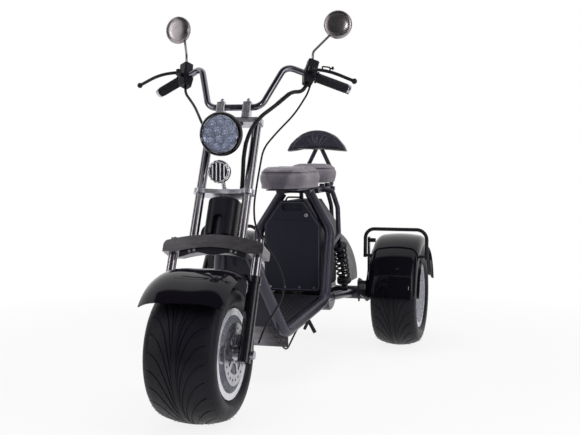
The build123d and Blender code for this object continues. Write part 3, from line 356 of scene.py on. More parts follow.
# %% Dress the frame's own parts
dressing = {
    frame_paint: "head_tube frame_rail_left frame_rail_right seat_frame backrest_stay swing_arm rear_axle rear_hoop",
    gloss_black: "front_fender rear_fender_left rear_fender_right headlight",
    satin_black: "fender_guards fender_brackets rail_brackets rear_shocks levers",
    leg_black: "fork_legs",
    pewter: "fork_bridge floor_pan",
    chrome: "fork_tubes mirrors horn",
    dark_chrome: "handlebar",
    alloy: "top_yoke bar_clamp",
    rim_alloy: "front_rim rear_rim_left rear_rim_right",
    steel: "front_brake_disc front_axle brake_caliper",
    tyre_rubber: "front_tyre rear_tyre_left rear_tyre_right",
    soft_rubber: "floor_mat grips",
    box_plastic: "battery_cover battery_case front_panel",
    black_plastic: "switch_housings head_cover rear_mudguard battery_handle",
    saddle_leather: "driver_saddle passenger_saddle",
    dark_leather: "backrest_pad",
    red_lens: "tail_lights",
    cable_black: "control_looms brake_hose rear_brake_line",
}
dressed = {name: material for material, names in dressing.items() for name in names.split()}
for name, material in dressed.items():
    mesh = frame["nodes"][name].data
    mesh.materials.clear()
    mesh.materials.append(material)
print(len(dressed), "parts dressed, missed:", sorted(set(frame["nodes"]) - set(dressed)))

# %% [markdown]
# ## Building helpers
# New pieces are plain meshes whose points are already in their final place, so every
# object stays at the origin. One helper makes the object, gives it its finish, and
# lets it ride on a body of the frame. A lathe turns an outline round an axis, and a
# tube follows a path. Both hand back a shape: its vertices and its faces.


# %% Mesh helpers
def put(name, data):
    """A new object at the origin, linked into the scene."""
    thing = bpy.data.objects.new(name, data)
    bpy.context.collection.objects.link(thing)
    return thing


def merge_and_turn_out(mesh, distance):
    """A bmesh of the mesh with doubles merged and all faces pointing outwards."""
    work = bmesh.new()
    work.from_mesh(mesh)
    bmesh.ops.remove_doubles(work, verts=work.verts, dist=distance)
    bmesh.ops.recalc_face_normals(work, faces=work.faces)
    return work


def new_piece(name, shape, material, body, smooth=35.0):
    vertices, faces = shape
    mesh = bpy.data.meshes.new(name)
    mesh.from_pydata([tuple(v) for v in vertices], [], [tuple(f) for f in faces])
    mesh.validate()
    mesh.materials.append(material)
    work = merge_and_turn_out(mesh, 1e-6)
    for edge in work.edges:
        if len(edge.link_faces) == 2 and edge.calc_face_angle(0) > math.radians(smooth):
            edge.smooth = False
    for face in work.faces:
        face.smooth = True
    work.to_mesh(mesh)
    work.free()
    piece = put(name, mesh)
    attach(piece, body)
    return piece


def circle(steps, offset=0.0):
    """Angles of a full turn in even steps."""
    return [2 * math.pi * (k + offset) / steps for k in range(steps)]


def axes_from(direction):
    """Two unit vectors square to a direction."""
    direction = Vector(direction).normalized()
    first = direction.orthogonal().normalized()
    return first, direction.cross(first).normalized()


def lathe(outline, origin, axis, steps=48):
    """An outline of (radius, height) turned round an axis."""
    axis = Vector(axis).normalized()
    first, second = axes_from(axis)
    vertices, faces = [], []
    count = len(outline)
    for turn in circle(steps):
        out = first * math.cos(turn) + second * math.sin(turn)
        vertices += [Vector(origin) + out * r + axis * h for r, h in outline]
    for k in range(steps):
        here, there = k * count, ((k + 1) % steps) * count
        faces += [(here + i, here + i + 1, there + i + 1, there + i) for i in range(count - 1)]
    return vertices, faces


def tube(path, radius, sides=12):
    """A round bar along points, closed at its ends."""
    path = [Vector(p) for p in path]
    vertices, faces = [], []
    normal, _ = axes_from(path[1] - path[0])
    for i, point in enumerate(path):
        run = (path[min(i + 1, len(path) - 1)] - path[max(i - 1, 0)]).normalized()
        normal = (normal - run * normal.dot(run)).normalized()
        side = run.cross(normal)
        vertices += [point + (normal * math.cos(turn) + side * math.sin(turn)) * radius for turn in circle(sides)]
    for i in range(len(path) - 1):
        for k in range(sides):
            a, b = i * sides + k, i * sides + (k + 1) % sides
            faces.append((a, b, b + sides, a + sides))
    last = (len(path) - 1) * sides
    faces += [tuple(range(sides))[::-1], tuple(range(last, last + sides))]
    return vertices, faces


print("mesh helpers ready")

# %% [markdown]
# What repeats is left to Geometry Nodes. A tree here always has the same ends: the
# geometry that comes in says where things go, the named inputs say how large they
# are, and the last two steps realize the instances and set the finish. The result
# is read back as a plain mesh, and the object that carried the tree is thrown away.


# %% Geometry Nodes helpers
def start_tree(name, sizes):
    """A tree with Geometry in and out, named size inputs and a Finish input."""
    inputs = [("Geometry", "Geometry", None)]
    inputs += [(label, "Int" if isinstance(value, int) else "Float", value) for label, value in sizes.items()]
    inputs.append(("Finish", "Material", None))
    return group_patch("GeometryNodeTree", name, inputs, [("Geometry", "Geometry")])


def end_tree(patch, geometry):
    """Realize, set the finish and hand the geometry out."""
    patch.add(real="GeometryNodeRealizeInstances", coat="GeometryNodeSetMaterial")
    patch.wire(
        f"""
        {geometry} > real.Geometry
        real.Geometry > coat.Geometry
        given.Finish > coat.Material
        coat.Geometry > result.Geometry
        """
    )
    return patch.tree


def grow(name, tree, carrier, material, body, smooth=40.0, **sizes):
    """Run a tree on a carrier object and keep what it makes as a plain mesh."""
    modifier = carrier.modifiers.new("grow", "NODES")
    modifier.node_group = tree
    for item in tree.interface.items_tree:
        if item.item_type == "SOCKET" and item.in_out == "INPUT":
            label = item.name.replace(" ", "_")
            if item.name == "Finish":
                modifier[item.identifier] = material
            elif label in sizes:
                modifier[item.identifier] = sizes[label]
    seen = carrier.evaluated_get(bpy.context.evaluated_depsgraph_get())
    mesh = bpy.data.meshes.new_from_object(seen)
    carrier.modifiers.remove(modifier)
    bpy.data.objects.remove(carrier, do_unlink=True)
    mesh.name = name
    mesh.shade_smooth()
    mesh.set_sharp_from_angle(angle=math.radians(smooth))
    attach(put(name, mesh), body)


def marks(places, facings):
    """Loose points that each remember which way they face."""
    mesh = bpy.data.meshes.new("marks")
    mesh.from_pydata([tuple(p) for p in places], [], [])
    facing = mesh.attributes.new("facing", "FLOAT_VECTOR", "POINT")
    for entry, value in zip(facing.data, facings):
        entry.vector = tuple(Vector(value).normalized())
    return put("marks", mesh)


def line_carrier(path):
    """A wire along points, for trees that follow a path."""
    mesh = bpy.data.meshes.new("line")
    mesh.from_pydata([tuple(p) for p in path], [(i, i + 1) for i in range(len(path) - 1)], [])
    return put("line", mesh)


print("tree helpers ready")

# %% [markdown]
# A bolt head is a six-sided drum on a thin round flange. The tree puts one on each
# mark and turns its Z axis to the mark's facing. The same tree serves every bolt on
# the tricycle, from the battery cover to the wheel hubs, with other sizes.


# %% The bolt tree
def build_bolt_tree():
    patch = start_tree("Bolt heads", {"Radius": 0.006, "Height": 0.004, "Flange": 1.35, "Corners": 6})
    patch.add(
        head="GeometryNodeMeshCylinder",
        rim="GeometryNodeMeshCylinder",
        wide="ShaderNodeMath",
        thin="ShaderNodeMath",
        lift="ShaderNodeMath",
        rise="ShaderNodeCombineXYZ",
        raised="GeometryNodeTransform",
        both="GeometryNodeJoinGeometry",
        facing="GeometryNodeInputNamedAttribute",
        turn="FunctionNodeAlignRotationToVector",
        points="GeometryNodeMeshToPoints",
        place="GeometryNodeInstanceOnPoints",
    )
    patch.preset({f"{product}:operation": "MULTIPLY" for product in ("wide", "thin", "lift")})
    patch.preset({"rim.Vertices": 20, "thin.1": 0.3, "lift.1": 0.5})
    patch.preset({"facing:data_type": "FLOAT_VECTOR", "facing.Name": "facing", "turn:axis": "Z"})
    patch.wire(
        """
        given.Corners > head.Vertices
        given.Radius > head.Radius
        given.Height > head.Depth
        given.Radius > wide.0
        given.Flange > wide.1
        given.Height > thin.0
        given.Height > lift.0
        wide.0 > rim.Radius
        thin.0 > rim.Depth
        lift.0 > rise.Z
        head.Mesh > raised.Geometry
        rise.Vector > raised.Translation
        raised.Geometry > both.Geometry
        rim.Mesh > both.Geometry
        facing.Attribute > turn.Vector
        given.Geometry > points.Mesh
        points.Points > place.Points
        both.Geometry > place.Instance
        turn.Rotation > place.Rotation
        """
    )
    return end_tree(patch, "place.Instances")


bolt_tree = build_bolt_tree()


def bolts(name, spots, facing, material, body, **sizes):
    """Bolt heads on spots that all face one way."""
    grow(name, bolt_tree, marks(spots, [facing] * len(spots)), material, body, **sizes)


print("bolt tree", [i.name for i in bolt_tree.interface.items_tree])

# %% [markdown]
# Rubber grips and cable wraps are rings in a row, and stitches are short bits of
# thread laid end to end with a gap between. Both come from trees of one kind, which
# read a path, space points evenly along it, and set one item square to it on each.


# %% Trees that follow a path
def build_path_tree(name, sizes, kinds, values, wires, item):
    patch = start_tree(name, sizes)
    patch.add(
        curve="GeometryNodeMeshToCurve",
        spaced="GeometryNodeResampleCurve",
        along="GeometryNodeInputTangent",
        turn="FunctionNodeAlignRotationToVector",
        place="GeometryNodeInstanceOnPoints",
        **kinds,
    )
    patch.preset({"spaced:mode": "LENGTH", "turn:axis": "Z", **values})
    patch.wire(wires)
    patch.wire(
        f"""
        given.Geometry > curve.Mesh
        curve.Curve > spaced.Curve
        along.Tangent > turn.Vector
        spaced.Curve > place.Points
        {item} > place.Instance
        turn.Rotation > place.Rotation
        """
    )
    return end_tree(patch, "place.Instances")


ring_tree = build_path_tree(
    "Rings along a path",
    {"Spacing": 0.006, "Ring radius": 0.016, "Wire": 0.0012},
    {
        "hoop": "GeometryNodeCurvePrimitiveCircle",
        "wire": "GeometryNodeCurvePrimitiveCircle",
        "ring": "GeometryNodeCurveToMesh",
    },
    {"hoop.Resolution": 28, "wire.Resolution": 6},
    """
    given.Spacing > spaced.Length
    given.Ring radius > hoop.Radius
    given.Wire > wire.Radius
    hoop.Curve > ring.Curve
    wire.Curve > ring.Profile Curve
    """,
    "ring.Mesh",
)
stitch_tree = build_path_tree(
    "Stitches along a seam",
    {"Step": 0.006, "Length": 0.004, "Thread": 0.0006},
    {"stitch": "GeometryNodeMeshCylinder"},
    {"stitch.Vertices": 6},
    """
    given.Step > spaced.Length
    given.Thread > stitch.Radius
    given.Length > stitch.Depth
    """,
    "stitch.Mesh",
)
print("trees", [t.name for t in bpy.data.node_groups if t.bl_idname == "GeometryNodeTree"])

# %% [markdown]
# ## Tyres
# The tread is made of long curved grooves. Each one starts beside the middle line,
# runs almost straight round the tyre, and then hooks out to the shoulder. All of
# them are one curve turned round the wheel. So the tyre is a grid whose columns are
# sheared along that curve: a groove is then a straight column of the grid, its edges
# stay crisp, and far fewer faces do the work of a fine even grid.


# %% Read a tyre's outline from the frame
def vertex_array(mesh, what="co"):
    data = np.empty(len(mesh.vertices) * 3)
    mesh.vertices.foreach_get(what, data)
    return data.reshape(-1, 3)


def tyre_half_outline(node, middle):
    """Points (across, radius) from the crown over one shoulder to the inside middle."""
    points = vertex_array(frame["nodes"][node].data) - np.array(middle)
    across = points[:, 0]
    radius = np.hypot(points[:, 1], points[:, 2])
    tally = np.unique(np.round(np.column_stack([across, radius]), 4), axis=0)
    tally = tally[tally[:, 0] >= -1e-5]
    pivot = (radius.max() + radius.min()) / 2 - 0.004
    order = np.argsort(np.arctan2(tally[:, 0], tally[:, 1] - pivot))
    outline = tally[order]
    if outline[0, 0] > 1e-4:
        outline = np.vstack([[0, radius.max()], outline])
    if outline[-1, 0] > 1e-4:
        outline = np.vstack([outline, [0, radius.min()]])
    return outline


front_outline = tyre_half_outline("front_tyre", middle_of("front_rim"))
rear_outline = tyre_half_outline("rear_tyre_left", middle_of("rear_tyre_left"))
print("outline points", len(front_outline), len(rear_outline), "crown", round(front_outline[0, 1], 4))

# %% [markdown]
# Columns come in a repeating pattern: four lines for a groove of the left half, two
# plain lines, four for a groove of the right half, and two plain lines. A groove is
# narrow where it runs round the tyre and opens towards the shoulder, as a moulded
# one does, and it fades to nothing at both of its ends.


# %% The tread's rows and columns
groove_pitch = math.radians(15)
groove_reach = math.radians(62)
groove_start = 0.006
groove_steps = 34
widest_groove = groove_pitch * 0.20
plain_half = groove_pitch * 0.08
floor_share = 0.55
rows_beyond_groove = 44
lines_in_pitch = 12


def tread_rows(outline, groove_end):
    """For one half: distance along the outline, turn of the curve, and how far along the groove."""
    steps = np.hypot(*np.diff(outline, axis=0).T)
    rows = [(0.0, 0.0, -1.0), (groove_start * 0.5, 0.0, -1.0)]
    for k in range(groove_steps + 1):
        t = k / groove_steps
        reach = groove_start + (groove_end - groove_start) * (1 - math.cos(t * math.pi / 2))
        rows.append((reach, groove_reach * math.sin(t * math.pi / 2), t))
    beyond = np.linspace(groove_end, steps.sum(), rows_beyond_groove)[1:]
    rows += [(s, groove_reach, -1.0) for s in beyond]
    return rows, np.concatenate([[0], np.cumsum(steps)])


def groove_half_angle(t, groove_end, width, radius):
    """Half the angle that a groove takes up, from its true width and its slant."""
    slope = (groove_end - groove_start) / (groove_reach * radius) * math.tan(max(t, 0.02) * math.pi / 2 * 0.999)
    slant = math.sin(math.atan(slope))
    return min(width / (2 * radius * slant), widest_groove)


def tread_columns(half, side):
    """The angles of one pitch: this side's groove lines, plain lines, the other side's."""
    here = [f * half for f in (-1, -floor_share, floor_share, 1)]
    other = [groove_pitch / 2 + f * plain_half for f in (-1, -floor_share, floor_share, 1)]
    gap_one = [here[3] + (other[0] - here[3]) * f for f in (1 / 3, 2 / 3)]
    gap_two = [other[3] + (groove_pitch + here[0] - other[3]) * f for f in (1 / 3, 2 / 3)]
    line = here + gap_one + other + gap_two
    if side == -1:
        line = [a - groove_pitch / 2 for a in line]
        line = line[6:] + [a + groove_pitch for a in line[:6]]
    return line


print("grooves on each half", round(2 * math.pi / groove_pitch))

# %% [markdown]
# The grid is now filled in row by row. Both halves share the row on the crown and
# the last one inside, and only the two middle lines of a groove are pressed in.


# %% The tread grid
def treaded_tyre(name, node, body, outline, middle, groove_end, width, depth):
    rows, lengths = tread_rows(outline, groove_end)
    crown = outline[0, 1]
    repeats = round(2 * math.pi / groove_pitch)
    vertices, index = [], {}
    for side, groove_floor in ((1, (1, 2)), (-1, (7, 8))):
        for row, (s, turned, t) in enumerate(rows):
            if side == -1 and row in (0, len(rows) - 1):
                index[side, row] = index[1, row]
                continue
            across = np.interp(s, lengths, outline[:, 0])
            radius = np.interp(s, lengths, outline[:, 1])
            half, fade = plain_half, 0.0
            if t >= 0:
                half = groove_half_angle(t, groove_end, width, crown)
                fade = min(1.0, t / 0.10, (1 - t) / 0.05)
            index[side, row] = len(vertices)
            line = tread_columns(half, side)
            for k in range(repeats):
                for j, angle in enumerate(line):
                    turn = k * groove_pitch + angle + turned
                    r = radius - depth * fade * (j in groove_floor)
                    y, z = middle[1] - r * math.cos(turn), middle[2] + r * math.sin(turn)
                    vertices.append((middle[0] + side * across, y, z))
    count = repeats * lines_in_pitch
    faces = []
    for side in (1, -1):
        for row in range(len(rows) - 1):
            a, b = index[side, row], index[side, row + 1]
            for k in range(count):
                n = (k + 1) % count
                quad = (a + k, a + n, b + n, b + k)
                faces.append(quad if side == 1 else quad[::-1])
    piece = new_piece(name, (vertices, faces), tyre_rubber, body, smooth=38)
    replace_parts(piece, node)
    print(name, len(piece.data.polygons), "faces")


treaded_tyre(
    "front_tread", "front_tyre", "front_wheel", front_outline, middle_of("front_rim"),
    groove_end=0.094, width=0.0042, depth=0.0026,
)
for _, side_name in sides:
    tyre = f"rear_tyre_{side_name}"
    treaded_tyre(
        f"rear_tread_{side_name}", tyre, f"rear_wheel_{side_name}", rear_outline, middle_of(tyre),
        groove_end=0.080, width=0.0036, depth=0.0024,
    )

# %% [markdown]
# ## Saddles
# A moped saddle is foam under a tight leather-look cover. The cover is cut in panels,
# and where they are sewn together the seam pulls the foam in. A cloth simulation
# gives the swell: the CAD pad is shrunk a little, remeshed evenly, and blown up from
# inside for twenty frames. Nothing may move further than a cap, and the base stays
# flat, since it lies on its seat bars. Seams come after, as narrow dents.


# %% The cushion recipe
sim_frames = 20
puff_pressure = 4.0
puff_cap = 0.006
flat_margin = 0.012


def merged_copy(node, name):
    mesh = frame["nodes"][node].data.copy()
    work = merge_and_turn_out(mesh, 1e-5)
    work.to_mesh(mesh)
    work.free()
    mesh.name = name
    return put(name, mesh)


def apply_modifiers(obj):
    seen = obj.evaluated_get(bpy.context.evaluated_depsgraph_get())
    mesh = bpy.data.meshes.new_from_object(seen)
    obj.modifiers.clear()
    old, obj.data = obj.data, mesh
    bpy.data.meshes.remove(old)


def puffed(node, name, shrink, voxel, flat_axis, flat_end):
    """A cushion from a CAD pad, blown up by a cloth simulation."""
    pad = merged_copy(node, name)
    start = vertex_array(pad.data) - vertex_array(pad.data, "normal") * shrink
    pad.data.vertices.foreach_set("co", start.ravel())
    remesh = pad.modifiers.new("even", "REMESH")
    remesh.mode = "VOXEL"
    remesh.voxel_size = voxel
    apply_modifiers(pad)
    before = vertex_array(pad.data)
    cloth = pad.modifiers.new("cloth", "CLOTH")
    cloth.settings.use_pressure = True
    cloth.settings.uniform_pressure_force = puff_pressure
    cloth.settings.effector_weights.gravity = 0
    for step in range(1, sim_frames + 1):
        bpy.context.scene.frame_set(step)
    apply_modifiers(pad)
    bpy.context.scene.frame_set(1)
    moved = vertex_array(pad.data) - before
    length = np.linalg.norm(moved, axis=1, keepdims=True)
    moved *= np.minimum(1.0, puff_cap / np.maximum(length, 1e-9))
    heights = before[:, flat_axis]
    nearness = np.clip(np.abs(heights - flat_end(heights)) / flat_margin, 0, 1)
    after = before + moved * nearness[:, None]
    pad.data.vertices.foreach_set("co", after.ravel())
    smooth = pad.modifiers.new("smooth", "SUBSURF")
    smooth.levels = smooth.render_levels = 1
    apply_modifiers(pad)
    pad.data.shade_smooth()
    return pad


def dent(pad, depth_at):
    """Press a cushion in along its normals by a depth worked out at each point."""
    places, normals = vertex_array(pad.data), vertex_array(pad.data, "normal")
    depth = depth_at(places, normals)
    pad.data.vertices.foreach_set("co", (places - normals * depth[:, None]).ravel())
    pad.data.update()


def finish_pad(pad, node, material):
    pad.data.materials.clear()
    pad.data.materials.append(material)
    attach(pad, "frame")
    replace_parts(pad, node)
    print(pad.name, len(pad.data.polygons), "faces")


# %% [markdown]
# A dent's depth is a product of two kinds of curve. A groove is a narrow bell round
# a seam's line. A ramp goes from 0 to 1 over a short way and fades the seam out
# where it should end. The driver's saddle has sewn ridges across its top, and a
# panel set into its nose between two slanted seams, which gets painted shade. The
# passenger's saddle is plain but for an oval seam and its edge.


# %% Seams of both saddles
def groove(distance, half_width):
    return np.exp(-((distance / half_width) ** 2))


def ramp(distance, width):
    return np.clip(distance / width, 0, 1)


driver_low, driver_high = box_of("driver_saddle")
rider_low, rider_high = box_of("passenger_saddle")
ridge_pitch = 0.030
ridge_reach = 0.080
first_ridge, last_ridge = 0.075, 0.045
nose_length = 0.085
seam_half = 0.0035
nose_seam_foot, nose_seam_top = 0.022, 0.058
edge_seam_rise = 0.70
oval_across, oval_along = 0.074, 0.062


def rise_of(places, low, high):
    return (places[:, 2] - low.z) / (high.z - low.z)


def edge_band(places, normals, low, high):
    """The seam that runs right round a saddle below its upper edge."""
    return 0.0016 * groove(rise_of(places, low, high) - edge_seam_rise, 0.045) * ramp(0.75 - normals[:, 2], 0.2)


def nose_panel(places):
    """Signed distance into the nose panel of the driver's saddle, in metres across; the panel gets painted shade."""
    rise = np.clip(rise_of(places, driver_low, driver_high), 0, 1.2)
    return nose_seam_foot + (nose_seam_top - nose_seam_foot) * rise - np.abs(places[:, 0])


def driver_dents(places, normals):
    across, length = np.abs(places[:, 0]), places[:, 1]
    top = ramp(normals[:, 2] - 0.55, 0.3)
    along = length - (driver_low.y + first_ridge)
    nearest = along - np.round(along / ridge_pitch) * ridge_pitch
    inside = ramp(along + 0.01, 0.01) * ramp(driver_high.y - last_ridge - length, 0.01)
    ridges = 0.0026 * groove(nearest, seam_half) * top * inside * ramp(ridge_reach - across, 0.012)
    rails = 0.0022 * groove(across - ridge_reach, 0.003) * top * inside
    nose = ramp(driver_low.y + nose_length - length, 0.01) * ramp(0.8 - normals[:, 2], 0.2)
    seams = 0.0020 * groove(nose_panel(places), seam_half) * nose
    return ridges + rails + seams + edge_band(places, normals, driver_low, driver_high)


def rider_dents(places, normals):
    top = ramp(normals[:, 2] - 0.55, 0.3)
    middle = (rider_low.y + rider_high.y) / 2
    oval = np.hypot(places[:, 0] / oval_across, (places[:, 1] - middle) / oval_along) - 1
    return 0.0022 * groove(oval * 0.07, seam_half) * top + edge_band(places, normals, rider_low, rider_high)


print("driver saddle", [round(v, 3) for v in driver_high - driver_low])

# %% [markdown]
# Now both saddles are blown up, dented and given their leather. The nose panel is
# the same cushion with painted shade, a darker copy of the leather, on the faces
# between the two slanted seams.

# %% Both saddles
driver_pad = puffed("driver_saddle", "driver_cushion", 0.004, 0.005, 2, np.min)
dent(driver_pad, driver_dents)
rider_pad = puffed("passenger_saddle", "passenger_cushion", 0.004, 0.005, 2, np.min)
dent(rider_pad, rider_dents)
finish_pad(driver_pad, "driver_saddle", saddle_leather)
finish_pad(rider_pad, "passenger_saddle", saddle_leather)
# The faces between the nose seams get the darker copy of the leather: painted shade.
driver_pad.data.materials.append(nose_leather)
for face in driver_pad.data.polygons:
    middle = np.array(face.center).reshape(1, 3)
    on_nose = face.center.y < driver_low.y + first_ridge and face.normal.z < 0.72
    if on_nose and nose_panel(middle)[0] > 0:
        face.material_index = 1

# %% [markdown]
# A welt is a thin cord of the same cover, sewn into the upper edge. It and the rows
# of stitches have to lie exactly on the leather. Their lines are found by shooting a
# ray at the cushion from outside, and the point where it lands is on the cover,
# whatever the simulation did to it.


# %% Welts
outside_reach = 0.4


def cover_tree(pad):
    return BVHTree.FromPolygons([v.co for v in pad.data.vertices], [p.vertices for p in pad.data.polygons])


def line_round(pad, height, steps):
    """A closed line round a cushion at one height, lying on its cover."""
    tree = cover_tree(pad)
    low, high = np.array(pad.bound_box).min(axis=0), np.array(pad.bound_box).max(axis=0)
    middle = Vector(((low[0] + high[0]) / 2, (low[1] + high[1]) / 2, height))
    line = []
    for turn in circle(steps):
        out = Vector((math.cos(turn), math.sin(turn), 0))
        spot = tree.ray_cast(middle + out * outside_reach, -out)[0]
        if spot:
            line.append(spot)
    return line


def loop_tube(path, radius, sides=8):
    """A closed ring of tube along a closed path."""
    vertices, faces = [], []
    count = len(path)
    for i, point in enumerate(path):
        run = (path[(i + 1) % count] - path[i - 1]).normalized()
        first = (Vector((0, 0, 1)) - run * run.z).normalized()
        second = run.cross(first)
        vertices += [point + (first * math.cos(turn) + second * math.sin(turn)) * radius for turn in circle(sides)]
    for i in range(count):
        here, there = i * sides, (i + 1) % count * sides
        faces += [(here + k, here + (k + 1) % sides, there + (k + 1) % sides, there + k) for k in range(sides)]
    return vertices, faces


welt_rise = 0.78
saddles = ((driver_pad, "driver", driver_low, driver_high), (rider_pad, "passenger", rider_low, rider_high))
for pad, name, low, high in saddles:
    edge_line = line_round(pad, low.z + (high.z - low.z) * welt_rise, 140)
    new_piece(f"{name}_welt", loop_tube(edge_line, 0.0022), dark_leather, "frame")
    print(name, "welt points", len(edge_line))

# %% [markdown]
# Two rows of stitches run side by side along each slanted seam of the saddle's nose.
# The path tree sets one small thread per step and turns it along the seam.


# %% Stitches on the nose
seam_points = 14
row_apart = 0.005
stitch_lift = 0.0003


def nose_seam(side, offset):
    """A slanted line down the saddle's nose, lying on the cover."""
    tree = cover_tree(driver_pad)
    line = []
    for rise in np.linspace(0.10, 0.86, seam_points):
        across = side * (nose_seam_foot + (nose_seam_top - nose_seam_foot) * rise + offset)
        height = driver_low.z + (driver_high.z - driver_low.z) * rise
        spot, normal, _, _ = tree.ray_cast(Vector((across, driver_low.y - 0.2, height)), Vector((0, 1, 0)))
        if spot:
            line.append(spot + normal * stitch_lift)
    return line


for side, side_name in sides:
    for offset, row in ((-row_apart, "inner"), (row_apart, "outer")):
        seam = line_carrier(nose_seam(side, offset))
        grow(f"nose_stitches_{side_name}_{row}", stitch_tree, seam, thread, "frame")
print("stitches done")

# %% [markdown]
# The backrest is a half-moon pad. Its cover is gathered at the middle of its lower
# edge, so pleats fan out from there, and a piping follows its outline a little inside
# the edge. Behind it is flat, where it is screwed to its stay.

# %% Backrest
back_low, back_high = box_of("backrest_pad")
fan_foot = Vector((0, 0, back_low.z + 0.012))
back_radius = back_high.z - fan_foot.z
pleat = math.radians(15)
fan_half = math.radians(36)
piping_share = 0.80


def back_dents(places, normals):
    front = ramp(-normals[:, 1] - 0.35, 0.3)
    across = places[:, 0] * back_radius / back_high.x
    up = places[:, 2] - fan_foot.z
    reach = np.hypot(across, up)
    angle = np.arctan2(up, across)
    nearest = (angle - np.round(angle / pleat) * pleat) * reach
    inner = ramp(piping_share - reach / back_radius, 0.25) * ramp(reach, 0.02)
    inner *= ramp(fan_half - np.abs(angle - math.pi / 2), 0.1)
    piping = groove((reach / back_radius - piping_share) * back_radius, 0.0028)
    return (0.0022 * groove(nearest, 0.0034) * inner + 0.0020 * piping) * front


back_pad = puffed("backrest_pad", "backrest_cushion", 0.003, 0.0045, 1, np.max)
dent(back_pad, back_dents)
finish_pad(back_pad, "backrest_pad", dark_leather)

# %% [markdown]
# ## Steering details
# Four more shapes serve the lamps, mirrors and grips: a ring of round wire, a drum
# with a chamfered edge, a path with rounded corners, and a flat plate cut from sheet.


# %% Round parts and plates
def put_together(parts):
    """One shape from several."""
    vertices, faces = [], []
    for part_vertices, part_faces in parts:
        start = len(vertices)
        vertices += list(part_vertices)
        faces += [tuple(start + i for i in face) for face in part_faces]
    return vertices, faces


def ring(radius, wire, origin, axis, height=0.0, steps=48, sides=10):
    """A closed ring of round wire round an axis."""
    turns = circle(sides) + [0.0]
    outline = [(radius + wire * math.cos(a), height + wire * math.sin(a)) for a in turns]
    return lathe(outline, origin, axis, steps)


def drum(radius, low, high, origin, axis, steps=48, edge=0.0008):
    """A closed disc or drum with a small chamfer at its upper edge."""
    outline = [(0, low), (radius, low), (radius, high - edge), (radius - edge, high), (0, high)]
    return lathe(outline, origin, axis, steps)


def rounded(points, radius, steps=6):
    """A path through points with each corner rounded off."""
    points = [Vector(p) for p in points]
    path = [points[0]]
    for before, corner, after in zip(points, points[1:], points[2:]):
        reach = min(radius, (corner - before).length * 0.45, (after - corner).length * 0.45)
        start = corner + (before - corner).normalized() * reach
        end = corner + (after - corner).normalized() * reach
        for k in range(steps + 1):
            t = k / steps
            path.append(start * (1 - t) ** 2 + corner * 2 * t * (1 - t) + end * t**2)
    path.append(points[-1])
    return path


def plate(outline, origin, across, up, out, thickness):
    """A flat plate from an outline of (across, up) pairs, thick along out."""
    count = len(outline)
    back = [Vector(origin) + Vector(across) * u + Vector(up) * v for u, v in outline]
    front = [point + Vector(out) * thickness for point in back]
    faces = [tuple(range(count)), tuple(range(2 * count - 1, count - 1, -1))]
    faces += [(i, i + count, (i + 1) % count + count, (i + 1) % count) for i in range(count)]
    return front + back, faces


print("shapes ready")

# %% [markdown]
# The headlight is a black bowl with twelve round reflectors, each a small pressed
# dome. The bowl, its bright liner and the clear cover are each turned on a lathe
# from an outline. The frame's plain lamp body is hidden in exchange.

# %% Headlight
lamp = Vector((0, -0.547, 0.888))
lamp_steps = 64
lamp_back = [(0, -0.074), (0.014, -0.0722), (0.030, -0.066), (0.048, -0.052), (0.059, -0.034), (0.066, -0.012)]
lamp_lip = [(0.071, -0.008), (0.071, 0.008), (0.068, 0.0132), (0.0655, 0.014), (0.0625, 0.0125)]
lamp_inside = [(0.0620, 0.003), (0.060, 0.0), (0, -0.008)]
liner_back = [(0, -0.0078), (0.0598, 0.0002), (0.0615, 0.004), (0.0618, 0.0105)]
liner_front = [(0.0600, 0.0105), (0.0585, 0.004), (0.050, 0.0), (0, -0.006), (0, -0.0078)]
cover_glass = [(0, 0.0098), (0.0600, 0.0085), (0.0600, 0.0100), (0.040, 0.0128), (0, 0.0140)]
shell = new_piece(
    "headlight_shell", lathe(lamp_back + lamp_lip + lamp_inside, lamp, forward, lamp_steps), gloss_black, "steering"
)
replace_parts(shell, "headlight")
new_piece("headlight_liner", lathe(liner_back + liner_front, lamp, forward, lamp_steps), lamp_silver, "steering")
new_piece("headlight_bright_ring", ring(0.0608, 0.0016, lamp, forward, 0.0122, lamp_steps), chrome, "steering")
print("lamp outline points", len(lamp_back + lamp_lip + lamp_inside))

# %% Headlight reflectors
cup_wall = [(0, -0.004), (0.0125, -0.004), (0.0125, 0.0045), (0.0117, 0.005)]
cup = cup_wall + [(0.0075, 0.0018), (0.004, 0.0012), (0, 0.0012)]
core = [(0, 0.001), (0.0052, 0.0014), (0.0046, 0.0042), (0.0026, 0.0058), (0, 0.0063)]
cup_places = [(0.043, turn) for turn in circle(9, 0.25)] + [(0.0165, turn) for turn in circle(3, 0.1)]
cup_middles = [lamp + Vector((reach * math.cos(turn), 0, reach * math.sin(turn))) for reach, turn in cup_places]
cups = put_together(lathe(cup, middle, forward, 24) for middle in cup_middles)
cores = put_together(lathe(core, middle, forward, 16) for middle in cup_middles)
new_piece("headlight_reflectors", cups, white_reflector, "steering")
new_piece("headlight_cores", cores, lamp_core, "steering")
new_piece("headlight_cover", lathe(cover_glass, lamp, forward, lamp_steps), clear_cover, "steering")
arms = []
for side, _ in sides:
    arms.append(tube([lamp + Vector((side * 0.030, 0.030, 0.020)), on_fork(side * 0.030, -0.029, 0.771)], 0.006))
new_piece("headlight_arms", put_together(arms), satin_black, "steering")
print("reflectors", len(cup_middles))

# %% [markdown]
# The horn has a wavy chrome rim round a dark disc with upright bars. The rim is a
# plain ring whose points are pushed in and out by a wave that follows their angle.

